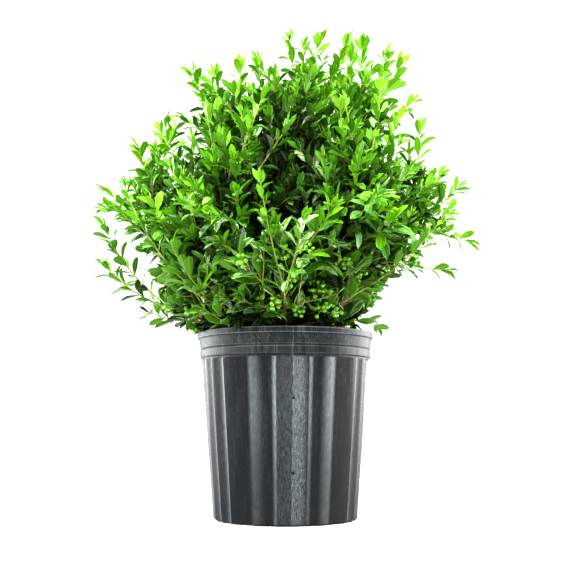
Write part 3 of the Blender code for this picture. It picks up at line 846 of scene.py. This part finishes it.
def bark_finish(look):
    """Tan bark, greener with height, with dark cracks, pale patches and small pale dots."""
    finish = Finish("holly_bark", 0.8)
    place = finish.place()
    height = finish.part(place, 2)
    grain = finish.noise(place, (300, 300, 70), 4.0, 0.65)
    patches = finish.noise(place, 60.0, 3.0, 0.6)
    dots = finish.noise(place, 520.0, 1.0, 0.4)
    dark = [part * 0.30 for part in look.bark]
    pale = [min(1.0, part * 1.7 + 0.03) for part in look.bark]
    colour = finish.mix(finish.step(grain, 0.35, 0.6), dark, look.bark)
    colour = finish.mix(finish.step(patches, 0.5, 0.72) * 0.7, colour, pale)
    colour = finish.mix(finish.step(dots, 0.68, 0.76) * 0.6, colour, pale)
    colour = finish.mix(finish.step(height, 0.36, 0.5) * 0.45, colour, look.shoot)
    return finish.feed(Base_Color=colour, Normal=finish.bump(grain + dots * 0.4, 0.7, 0.0006))


def make_limbs(look):
    """The trunk and its boughs, as tapering limbs with the bark's relief."""
    finish = bark_finish(look)
    bm = bmesh.new()
    shares = [(number / 70) ** 1.3 for number in range(71)]
    add_tube(bm, list(map(trunk_point, shares)), list(map(trunk_radius, shares)), 28, trunk_relief)
    add_piece("trunk_bark", mesh_of("trunk_bark", bm, 60), ["trunk"], [finish])

    bm = bmesh.new()
    limbs = [limb for limb in plan_limbs() if limb.start]
    shares = [BOUGH_SHARE * number / 26 for number in range(27)]
    for limb in limbs:
        add_tube(bm, list(map(limb.point, shares)), list(map(limb.bough_radius, shares)), 12, bark_relief)
    names = ["bough_" + limb.name for limb in limbs]
    add_piece("boughs_bark", mesh_of("boughs_bark", bm, 60), names, [finish])


def make_blade(form, shares, widths, columns, look):
    """A leaf from a sphere: its poles are the root and the tip, and it is folded along its middle."""
    length = look.leaf_length
    bm = bmesh.new()
    rows = len(shares) - 1
    bmesh.ops.create_uvsphere(bm, u_segments=columns, v_segments=rows, radius=1.0)
    layer = bm.loops.layers.uv.new("blade")
    marks = {}
    turns = {vert: math.atan2(vert.co.y, vert.co.x) for vert in bm.verts if abs(vert.co.z) < 0.99}
    first = min(abs(turn) for turn in turns.values())
    widest = max(math.sin(2 * math.pi * number / columns) for number in range(columns))
    for vert in bm.verts:
        row = round(math.acos(clamp(vert.co.z, -1.0)) / math.pi * rows)
        turn = turns.get(vert, 0.0) - first
        side = 0.0 if row in (0, rows) else clamp(math.sin(turn) / widest, -1.0)
        share = shares[row]
        half = widths[row] * look.leaf_width / 2
        x = half * side
        thick = BLADE_THICKNESS * math.cos(turn) if 0 < row < rows else 0.0
        lift = abs(x) * (form.fold * (1 - form.arch) + form.wave * math.sin(11 * share + 2 * form.twist))
        lift += form.twist * x * share - form.curl * length * share**2
        vert.co = Vector((x, length * share * (1 - 0.12 * abs(form.curl) * share), lift + thick))
        marks[vert] = (0.5 + 0.5 * side, share)
        vert.tag = math.cos(turn) < -0.01 and 0 < row < rows
    for face in bm.faces:
        face.material_index = int(any(vert.tag for vert in face.verts))
        for loop in face.loops:
            loop[layer].uv = marks[loop.vert]
    return Template(bm)


def make_berry(radius):
    """A round berry with the dark dot of its flower at the tip."""
    bm = bmesh.new()
    bmesh.ops.create_uvsphere(bm, u_segments=8, v_segments=6, radius=radius)
    for vert in bm.verts:
        row = round(math.acos(clamp(vert.co.z / radius, -1.0)) / math.pi * 6)
        angle = math.radians((0, 17, 48, 80, 112, 146, 180)[row])
        turn = math.atan2(vert.co.y, vert.co.x)
        sideways = radius * math.sin(angle)
        x, y = sideways * math.cos(turn), sideways * math.sin(turn)
        vert.co = Vector((x, y, radius * 1.04 * math.cos(angle)))
        vert.tag = row == 0
    for face in bm.faces:
        face.material_index = int(any(vert.tag for vert in face.verts))
    return Template(bm)


class Crown:
    """Grows twigs, leaves and berries on from the limbs, inside the same dome but for some long shoots."""

    def __init__(self, look):
        self.look = look
        self.draw = random.Random(look.seed)
        self.twigs = defaultdict(list)  # by kind of bark: paths of (points, radii)
        self.leaves = defaultdict(list)  # by ring
        self.berries = []  # middle and direction of each
        self.taken = defaultdict(list)  # by cell: the middles of the leaves
        self.shoots = []  # each twig that bears leaves
        self.clearings = []  # middle and radius of each place that stays free of leaves
        self.mood = 0.0  # how much older or younger than usual the leaves of a shoot look

    def has_room(self, point, room):
        """Whether no leaf's middle lies within reach of a point. It takes the place if so."""
        key = tuple(int(math.floor(part / LEAF_ROOM)) for part in point)
        steps = (-1, 0, 1)
        near = [(key[0] + i, key[1] + j, key[2] + k) for i in steps for j in steps for k in steps]
        if any((other - point).length < room for cell in near for other in self.taken[cell]):
            return False
        self.taken[key].append(point)
        return True

    def tint(self, point, share, on_tip):
        """0 for a young leaf to 3 for the oldest and most deeply shaded, by its place in the crown and on its
        shoot, or the glossy tint whose sheen is painted on.
        """
        width, middle = outline_at(point.z)
        sideways = math.hypot(point.x - middle, point.y) / max(width, 0.03)
        upward = (point.z - 0.36) / (CROWN_TOP - 0.36)
        outward = clamp((max(sideways, upward) - 0.50) / 0.36)
        # Leaves deep inside the crown take the darkest tints, which paint its shade
        age_and_shade = 3.3 - 2.4 * outward - 0.8 * share + self.mood + self.draw.gauss(0, 0.25)
        # Older, darker tints low down, at the lower left and low in the middle paint shade there; younger
        # tints on tips are new growth, and on both shoulders they paint light
        age_and_shade += 1.2 * clamp((0.46 - point.z) / 0.10)
        age_and_shade -= 0.20 * on_tip + 0.45 * (0.55 < point.z < 0.70 and abs(point.x) > 0.04)
        age_and_shade += 0.30 * (point.z < 0.55 and point.x < -0.15)
        nearness = clamp((0.16 - abs(point.x)) / 0.06)
        age_and_shade += clamp((0.60 - point.z) / 0.08) * (0.27 + 0.18 * nearness)
        # A painted sheen on most low outer leaves and a few others
        painted_sheen_share = 0.75 if point.z <= 0.41 and sideways > 0.72 else 0.06
        if age_and_shade > 0.8 and self.draw.random() < painted_sheen_share:
            return PAINTED_SHEEN
        return clamp(round(age_and_shade), 0, PAINTED_SHEEN - 1)

    def leaf_size(self, point):
        """Leaves are largest low down inside the crown, and small on the shoots at its top and sides."""
        outward = math.hypot(point.x, point.y) / 0.30
        rise = clamp((point.z - 0.32) / 0.18)
        return 1.38 - 0.64 * max(rise, min(1.0, outward**3 * 0.8))

    def add_leaf(self, ring, root, axis, up, size, tint, reach, small=False):
        """One leaf, unless the crown, the clearings or the other leaves have no place for it."""
        length = self.look.leaf_length * size
        tip, middle = root + axis * length, root + axis * length * 0.5
        if not fits(tip, reach) or not fits(middle, reach):
            return
        if any((place - spot).length < room for place, room in self.clearings for spot in (tip, middle)):
            return
        if not self.has_room(middle, LEAF_ROOM * (0.55 if small else 1.0) * min(1.0, size)):
            return
        side = axis.cross(up).normalized()
        up = side.cross(axis)
        form = self.draw.randrange(len(BLADE_FORMS))
        wide = size * self.draw.uniform(0.86, 1.12) * (0.80 + 0.26 * size)
        if reach >= SHOOT_REACH:
            wide *= 1.0 + 0.25 * clamp((root.z - 0.55) / 0.10)
        self.leaves[ring].append(Leaf(form, small, (side * wide, axis * size, up * size, root), tint))

    def leaf_from(self, ring, point, along, radial, share, size, tint, reach):
        """One leaf that stands off its twig, less so towards the twig's tip."""
        spread = math.radians(58 - 24 * share)
        scatter = Vector([self.draw.gauss(0, 0.16) for _ in range(3)])
        axis = (along * math.cos(spread) + radial * math.sin(spread) + scatter + UP * 0.12).normalized()
        up = along * 0.9 + UP * 0.7 + scatter * 1.5
        self.add_leaf(ring, point, axis, up, size, tint, reach)

    def dress(self, ring, points, first_share, vigour, reach):
        """Leaves in a spiral up a twig, smaller and younger to its tip, with a tuft there."""
        long_shoot = reach >= SHOOT_REACH
        length = sum((b - a).length for a, b in zip(points, points[1:]))
        spacing = WIDE_SPACING if long_shoot or points[-1].z <= 0.40 else LEAF_SPACING
        count = max(3, int(length * (1 - first_share) / spacing))
        turn = self.draw.uniform(0, 6.3)
        # Long shoots take older, darker tints, a painted shade that tones down the light they catch at the
        # crown's outside
        self.mood = self.draw.gauss(0, 0.30) + (0.55 if long_shoot else 0.0)
        for number in range(count):
            share = first_share + (0.97 - first_share) * (number + 0.5) / count
            point, along = along_path(points, share)
            turn += GOLDEN_TURN + self.draw.gauss(0, 0.2)
            size = 0.70 if long_shoot else self.leaf_size(point)
            size *= vigour * (1.06 - 0.30 * share**2) * self.draw.uniform(0.82, 1.12)
            tint = self.tint(point, share, False)
            self.leaf_from(ring, point, along, around(along, turn), share, size, tint, reach)
        tip, along = along_path(points, 1.0)
        _, up = across(along)
        for number in range(4):
            turn += GOLDEN_TURN
            radial = around(along, turn)
            axis = (along + radial * (0.18 + 0.16 * number)).normalized()
            size = vigour * self.draw.uniform(0.42, 0.62)
            tint = self.tint(tip, 1.0, not long_shoot)
            root = tip - along * 0.002 * number
            self.add_leaf(ring, root, axis, up + radial * 0.4, size, tint, reach, True)

    def hang_berries(self, point):
        """A cluster of berries on short stalks, on the outer side of a twig, with no leaf right in front."""
        look, draw = self.look, self.draw
        outward = Vector((point.x, point.y, 0.02)).normalized()
        middle = point + outward * 0.008
        hung = []
        for _ in range(draw.randint(12, 28)):
            way = Vector([draw.gauss(0, 1) for _ in range(3)]).normalized() + outward * 0.4
            spot = middle + way.normalized() * draw.uniform(0.003, 0.015)
            if any((other - spot).length < look.berry_radius * 1.75 for other, _ in hung) or not fits(spot):
                continue
            hung.append((spot, (spot - point).normalized()))
            self.twigs["shoot"].append(([point, point.lerp(spot, 0.6), spot], [0.0006, 0.0005, 0.0005]))
            if len(hung) == BERRIES_AT_MOST:
                break
        self.berries += hung
        self.clearings += [(middle, 0.009), (middle + outward * 0.026, 0.019)]

    def place_berries(self):
        """Clusters low in the crown, near its outside: the front's own, and others apart from each other."""
        places = []
        for shoot in self.shoots:
            for share in (0.3, 0.5, 0.7, 0.9):
                place, _ = along_path(shoot.points, share)
                if 0.290 < place.z < 0.43 and not fits(place, 0.66) and fits(place, 0.98):
                    places.append(place)
        front = [place for place in places if place.y < -0.10]
        chosen = []
        for x, height in BERRY_SPOTS:
            chosen.append(min(front, key=lambda place: math.hypot(place.x - x, place.z - height)))
        self.draw.shuffle(places)
        for place in places:
            if place.y > -0.10 and place.z < 0.41 and all((place - other).length > 0.06 for other in chosen):
                chosen.append(place)
        for place in chosen:
            self.hang_berries(place)

    def grow_twig(self, limb, foot, way, length, level, kind, lift):
        """One twig with its leaves, and its own finer twigs. It is cut short to fit, or left out."""
        draw = self.draw
        outward = Vector((foot.x, foot.y, 0)).normalized()
        size = draw.triangular(0.74, 0.96, 0.86) - 0.10 * clamp((foot.z - 0.50) / 0.15)
        bow = (UP * draw.uniform(0.25, 0.75) + outward * draw.uniform(0.0, 0.25)) * lift
        for attempt in range(7):
            reach = length * (1 - 0.11 * attempt)
            points = [foot + (way + bow * n / 6) * reach * n / 6 for n in range(7)]
            if all(fits(point, size) for point in points[2:]):
                break
        else:
            return
        thick = 0.00165 if level == 1 else 0.00115
        self.twigs[kind].append((points, [thick * (1 - 0.55 * n / 6) for n in range(7)]))
        vigour = draw.uniform(0.86, 1.12) * (1.0 if level == 1 else 0.92)
        self.shoots.append(Shoot(limb.ring, points, 0.30 if level == 1 else 0.16, vigour, size + 0.07))
        if level == 1:
            turn = draw.uniform(0, 6.3)
            for number in range(3):
                share = 0.30 + 0.22 * number + draw.uniform(-0.05, 0.05)
                point, along = along_path(points, share)
                turn += GOLDEN_TURN
                finer = (along * 0.72 + around(along, turn) * 0.70 + UP * 0.15 * lift).normalized()
                self.grow_twig(limb, point, finer, draw.uniform(0.050, 0.085), 2, "shoot", lift)

    def grow_limb(self, limb):
        """A limb's leafy stem, from the bough's tip as far as it fits, with twigs all along."""
        draw = self.draw
        end = STEM_END
        while not fits(limb.point(end), 0.90):
            end -= 0.01
        stem = [limb.point(limb.start + (end - limb.start) * n / 12) for n in range(13)]
        radii = [STEM_RADIUS + (STEM_TIP_RADIUS - STEM_RADIUS) * n / 12 for n in range(13)]
        if limb.name == "top":
            radii[0] = TRUNK_TIP_RADIUS
        self.twigs["bark"].append((stem, radii))
        first = 0.14 if limb.start else 0.05
        turn = draw.uniform(0, 6.3)
        for number in range(self.look.twigs_on_stem):
            share = first + (end - 0.03 - first) * (number + draw.uniform(0, 0.8)) / self.look.twigs_on_stem
            foot, ahead = limb.point(share), limb.direction(share)
            turn += GOLDEN_TURN
            spread = math.radians(52 - 14 * share)
            lift = limb.lift if number % 3 == 0 else abs(limb.lift)
            way = ahead * math.cos(spread) + around(ahead, turn) * math.sin(spread) + UP * lift * 0.6
            length = draw.uniform(0.080, 0.135) * (1.15 - 0.4 * share)
            kind = "bark" if share < 0.5 else "shoot"
            self.grow_twig(limb, foot, way.normalized(), length, 1, kind, max(lift, 0.15))
        self.shoots.append(Shoot(limb.ring, stem, 0.55, 1.0, 0.97))

    def grow_long_shoot(self, limbs, tip, vigour, length):
        """A shoot that stands out of the crown, from the limb that best suits its tip and its length."""
        outward = Vector((tip.x, tip.y, 0)) / 0.3
        aim = (outward * 0.7 + UP * (0.9 if tip.z > 0.45 else 0.25)).normalized()
        best = None
        for limb in limbs:
            for number in range(12):
                foot = limb.point(0.32 + 0.05 * number)
                ahead = tip - foot
                score = abs(ahead.length - length) + 0.14 * (1 - ahead.normalized().dot(aim))
                if fits(foot, 0.9) and (best is None or score < best[0]):
                    best = (score, foot, limb)
        _, foot, limb = best
        bend = foot.lerp(tip, 0.5) + (outward * 0.14 - UP * 0.08) * (tip - foot).length
        points = arc(foot, bend, tip, 9)
        self.twigs["shoot"].append((points, [0.0014 - 0.00008 * number for number in range(10)]))
        self.shoots.insert(0, Shoot(limb.ring, points, 0.04, vigour, SHOOT_REACH))

    def grow_front_shoots(self, limbs):
        """The long shoots of the front, each where the camera sees its tuft at the place named."""
        for x, height in FRONT_SHOOTS:
            y = self.draw.uniform(-0.04, 0.04)
            nearness = 1 + y / CAMERA_DISTANCE
            z = CAMERA_HEIGHT + (height - (CAMERA_HEIGHT + TUFT_RISE)) * nearness
            tip = Vector((x * TUFT_SHARE * nearness, y, z))
            length = 0.15 if height > 0.48 else 0.11
            self.grow_long_shoot(limbs, tip, self.draw.uniform(1.10, 1.32), length)
        for place in NEAR_SHOOTS:
            self.grow_long_shoot(limbs, Vector(place), self.draw.uniform(0.95, 1.15), 0.13)

    def grow_other_shoots(self, limbs):
        """Long shoots from the middle of the crown up, at the front and the back but not at the sides."""
        for number in range(OTHER_SHOOTS):
            azimuth = GOLDEN_TURN * number
            height = 0.47 + 0.29 * ((number + 0.5) / OTHER_SHOOTS) ** 0.9
            width, middle = outline_at(height)
            width *= self.draw.uniform(0.9, 1.0)
            if abs(math.sin(azimuth)) > 0.45:
                y = width * math.sin(azimuth)
                tip = Vector((middle + width * math.cos(azimuth), y, height - outline_drop(height, y)))
                self.grow_long_shoot(limbs, tip, self.draw.uniform(0.95, 1.15), 0.15)

    def grow(self, limbs):
        for limb in limbs:
            self.grow_limb(limb)
        self.grow_front_shoots(limbs)
        self.grow_other_shoots(limbs)
        self.place_berries()
        for shoot in self.shoots:
            self.dress(*shoot)


def twig_mesh(name, paths):
    """Many thin limbs at once: one curve with a round bevel, made a mesh."""
    curve = bpy.data.curves.new(name, "CURVE")
    curve.dimensions = "3D"
    curve.bevel_depth = 1.0
    curve.bevel_resolution = 1
    curve.use_fill_caps = True
    for points, radii in paths:
        spline = curve.splines.new("POLY")
        spline.points.add(len(points) - 1)
        for knot, point, radius in zip(spline.points, points, radii):
            knot.co = (*point, 1.0)
            knot.radius = radius
    helper = bpy.data.objects.new(name, curve)
    bpy.context.scene.collection.objects.link(helper)
    evaluated = helper.evaluated_get(bpy.context.evaluated_depsgraph_get())
    bm = bmesh.new()
    bm.from_mesh(evaluated.to_mesh())
    bpy.data.curves.remove(curve, do_unlink=True)
    bmesh.ops.remove_doubles(bm, verts=bm.verts, dist=1e-6)
    bmesh.ops.recalc_face_normals(bm, faces=bm.faces)
    return mesh_of(name, bm, 60)


def leaf_finish(name, colour, pale, gloss, specular=0.25, gleam=0.0):
    """A leaf's face: its green, a paler rib along its middle, a fine pale edge and a painted stripe of sheen.
    """
    finish = Finish(name, gloss, Specular_IOR_Level=specular)
    across_blade = finish.part(finish.node("UVMap", {"uv_map": "blade"}), 0)
    off_rib = abs(across_blade - 0.5)
    rib = 1 - finish.step(off_rib, 0.02, 0.10)
    edge = finish.step(off_rib, 0.39, 0.47)
    light = [min(1.0, part * 1.6 + pale) for part in colour]
    patches = finish.step(finish.noise(finish.place(), 260.0, 2.0, 0.6), 0.44, 0.56)
    # A painted stripe of sheen along one half of the blade, broken into patches
    painted_streak = finish.band(across_blade, 0.54, 0.62, 0.78, 0.90) * patches
    green = finish.mix(rib * 0.5 + edge * 0.8, tuple(colour), light)
    return finish.feed(Base_Color=finish.mix(painted_streak * gleam, green, GLEAM))


def leaf_finishes(look):
    """The upper face of each tint from young to the one with painted sheen, and then the paler and duller
    lower faces.
    """
    tints = {  # colour, pale edge, roughness, specular level and painted stripe of sheen; the sheen row's pale edge is painted sheen too
        "young": (look.young_leaf, 0.03, 0.36, 0.12, 0.0),
        "fresh": (look.fresh_leaf, 0.06, 0.32, 0.16, 0.10),
        "grown": (look.grown_leaf, 0.16, 0.28, 0.26, 0.25),
        # Near black inside the crown, as painted shade
        "old": (look.old_leaf, 0.10, 0.30, 0.18, 0.10),
        "sheen": (look.sheen_leaf, 0.60, 0.28, 0.60, 0.9),
    }
    finishes = [leaf_finish("leaf_" + name, *numbers) for name, numbers in tints.items()]
    for name, (colour, *_) in tints.items():
        under = tuple(0.80 * part + 0.20 * pale for part, pale in zip(colour, (0.20, 0.36, 0.06)))
        finishes.append(leaf_finish("leaf_under_" + name, under, 0.01, 0.5))
    return finishes


def join_leaves(look, crown, ring_nodes):
    """The leaves of each ring in a few pieces, from full blades and from the small ones of the tufts."""
    finishes = leaf_finishes(look)
    blades = [make_blade(form, BLADE_SHARES, BLADE_WIDTHS, 6, look) for form in BLADE_FORMS]
    small_blades = [make_blade(form, SMALL_SHARES, SMALL_WIDTHS, 4, look) for form in BLADE_FORMS]
    for ring, leaves in crown.leaves.items():
        pieces = max(1, math.ceil(len(leaves) / LEAVES_IN_PIECE))
        for piece in range(pieces):
            dealt, batches = leaves[piece::pieces], []
            for small, forms in ((False, blades), (True, small_blades)):
                for number, form in enumerate(forms):
                    chosen = [leaf for leaf in dealt if leaf.form == number and leaf.small == small]
                    kinds = [(leaf.tint, leaf.tint + len(finishes) // 2) for leaf in chosen]
                    batches.append((form, [leaf.placement for leaf in chosen], kinds))
            name = f"leaves_{ring}_{piece + 1}"
            add_piece(name, joined_mesh(name, batches, 32), ring_nodes[ring], finishes)


def join_berries(look, crown, nodes):
    placements = []
    for middle, way in crown.berries:
        side, _ = across(way)
        placements.append((side, side.cross(way) * -1, way, middle))
    batch = (make_berry(look.berry_radius), placements, [(0, 1)] * len(placements))
    skins = [
        plain_finish("berry_skin", tuple(look.berry), 0.28),
        plain_finish("berry_dot", (0.05, 0.07, 0.02), 0.7),
    ]
    add_piece("berries", joined_mesh("berries", [batch], 70), nodes, skins)


def make_foliage(look):
    """Twigs, leaves and berries, each kind joined in pieces of their own."""
    crown = Crown(look)
    limbs = plan_limbs()
    crown.grow(limbs)
    ring_nodes = defaultdict(list)
    for limb in limbs:
        ring_nodes[limb.ring].append("foliage_" + limb.name)
    everywhere = [name for names in ring_nodes.values() for name in names]
    old_bark = plain_finish("twig_bark", (0.30, 0.235, 0.085), 0.7)
    young_bark = plain_finish("shoot_bark", tuple(look.shoot), 0.55)
    for name, kind, bark in (("twigs", "bark", old_bark), ("young_shoots", "shoot", young_bark)):
        add_piece(name, twig_mesh(name, crown.twigs[kind]), everywhere, [bark])
    join_leaves(look, crown, ring_nodes)
    join_berries(look, crown, ring_nodes["low"] + ring_nodes["middle"])


def set_camera():
    camera = bpy.data.cameras.new("camera")
    camera.lens = CAMERA_LENS
    camera.sensor_width = CAMERA_SENSOR
    view = bpy.data.objects.new("camera", camera)
    view.location = (CAMERA_ASIDE, -CAMERA_DISTANCE, CAMERA_HEIGHT)
    view.rotation_euler = (math.radians(90 + CAMERA_RISE_DEGREES), 0, 0)
    bpy.context.scene.collection.objects.link(view)
    bpy.context.scene.camera = view


def lay_floor(look):
    bm = bmesh.new()
    bmesh.ops.create_grid(bm, x_segments=1, y_segments=1, size=30.0)
    bmesh.ops.translate(bm, verts=bm.verts, vec=(0, 0, -0.0002))
    floor = bpy.data.objects.new("floor", mesh_of("floor", bm))
    floor.data.materials.append(plain_finish("floor_white", tuple(look.floor), 0.9))
    bpy.context.scene.collection.objects.link(floor)


def light_surroundings(look):
    """White behind everything, which lights the plant only dimly and shows even less in its sheen."""
    world = bpy.data.worlds.new("studio")
    world.use_nodes = True
    nodes, links = world.node_tree.nodes, world.node_tree.links
    background = nodes["Background"].inputs
    seen = nodes.new("ShaderNodeLightPath").outputs
    strength = nodes.new("ShaderNodeMix")
    shine = nodes.new("ShaderNodeMix")
    shine.inputs[2].default_value = look.fill
    shine.inputs[3].default_value = look.fill * 0.25
    strength.inputs[3].default_value = look.backdrop
    background["Color"].default_value = (1.0, 1.0, 1.0, 1.0)
    links.new(seen["Is Glossy Ray"], shine.inputs[0])
    links.new(shine.outputs[0], strength.inputs[2])
    links.new(seen["Is Camera Ray"], strength.inputs[0])
    links.new(strength.outputs[0], background["Strength"])
    bpy.context.scene.world = world


def hang_light(name, kind, place, target, energy):
    """A light of any kind, turned from its place to its target."""
    light = bpy.data.lights.new(name, kind)
    light.energy = energy
    holder = bpy.data.objects.new(name, light)
    holder.location = place
    holder.rotation_euler = (Vector(target) - Vector(place)).to_track_quat("-Z", "Y").to_euler()
    bpy.context.scene.collection.objects.link(holder)
    return light, holder


def add_lamp(name, place, target, size, watts, diffuse=True):
    light, holder = hang_light(name, "AREA", place, target, watts)
    light.shape = "RECTANGLE"
    light.size, light.size_y = size
    holder.visible_camera = False
    holder.visible_diffuse = diffuse


def add_sun(name, side, soft_degrees, strength, glossy=True):
    light, holder = hang_light(name, "SUN", side, (0, 0, 0), strength)
    light.angle = math.radians(soft_degrees)
    holder.visible_glossy = glossy


def set_stage(look):
    set_camera()
    lay_floor(look)
    light_surroundings(look)
    add_sun("key_light", (-0.5, -1.2, 1.6), 25, look.key_light)
    add_sun("back_light", (0.9, 0.8, 1.5), 40, look.back_light, glossy=False)
    add_lamp("top_lamp", (0, -0.7, 2.2), (0, 0, 0.35), (4.0, 3.0), look.top_light, diffuse=False)
    add_lamp("front_lamp", (0, -1.9, 1.2), (0, 0, 0.3), (1.8, 0.8), look.front_light)
    for name, x in (("left_lamp", -1.5), ("right_lamp", 1.5)):
        add_lamp(name, (x, 0.6, 0.55), (0, 0.2, 0.3), (2.0, 1.6), look.side_light)
    bpy.context.scene.view_settings.view_transform = "Standard"
    bpy.context.scene.view_settings.look = "High Contrast"


class HOLLY_OT_pot(bpy.types.Operator):
    """Make the fluted nursery pot"""

    bl_idname = "holly.pot"
    bl_label = "Nursery Pot"

    def execute(self, context):
        make_pot(context.scene.holly_pot)
        return {"FINISHED"}


class HOLLY_OT_potting_mix(bpy.types.Operator):
    """Make the potting mix with its loose chips"""

    bl_idname = "holly.potting_mix"
    bl_label = "Potting Mix"

    def execute(self, context):
        make_potting_mix()
        make_chips()
        return {"FINISHED"}


class HOLLY_OT_limbs(bpy.types.Operator):
    """Make the trunk and the boughs with their bark"""

    bl_idname = "holly.limbs"
    bl_label = "Trunk and Boughs"

    def execute(self, context):
        make_limbs(context.scene.holly_plant)
        return {"FINISHED"}


class HOLLY_OT_foliage(bpy.types.Operator):
    """Grow the twigs, leaves and berries on from the limbs"""

    bl_idname = "holly.foliage"
    bl_label = "Twigs, Leaves and Berries"

    def execute(self, context):
        make_foliage(context.scene.holly_plant)
        return {"FINISHED"}


class HOLLY_OT_stage(bpy.types.Operator):
    """Set up the floor, the lights and the camera"""

    bl_idname = "holly.stage"
    bl_label = "Stage"

    def execute(self, context):
        set_stage(context.scene.holly_stage)
        return {"FINISHED"}


class HOLLY_PT_panel(bpy.types.Panel):
    """Lists the holly's sizes, colours and operators"""

    bl_label = "Potted Holly"
    bl_idname = "HOLLY_PT_panel"
    bl_space_type = "VIEW_3D"
    bl_region_type = "UI"
    bl_category = "Holly"

    def draw(self, context):
        layout = self.layout
        for group in LOOKS:
            look = getattr(context.scene, group)
            box = layout.box()
            for name in look.__annotations__:
                box.prop(look, name)
        for operator in OPERATORS:
            layout.operator(operator.bl_idname)


LOOKS = {"holly_pot": PotLook, "holly_plant": PlantLook, "holly_stage": StageLook}
OPERATORS = (HOLLY_OT_pot, HOLLY_OT_potting_mix, HOLLY_OT_limbs, HOLLY_OT_foliage, HOLLY_OT_stage)


def register():
    for cls in (*LOOKS.values(), *OPERATORS, HOLLY_PT_panel):
        bpy.utils.register_class(cls)
    for name, group in LOOKS.items():
        setattr(bpy.types.Scene, name, PointerProperty(type=group))


def unregister():
    for name in LOOKS:
        delattr(bpy.types.Scene, name)
    for cls in (HOLLY_PT_panel, *reversed(OPERATORS), *LOOKS.values()):
        bpy.utils.unregister_class(cls)


def main():
    register()
    bpy.ops.holly.pot()
    bpy.ops.holly.potting_mix()
    bpy.ops.holly.limbs()
    bpy.ops.holly.foliage()
    bpy.ops.holly.stage()


if __name__ == "__main__":
    main()
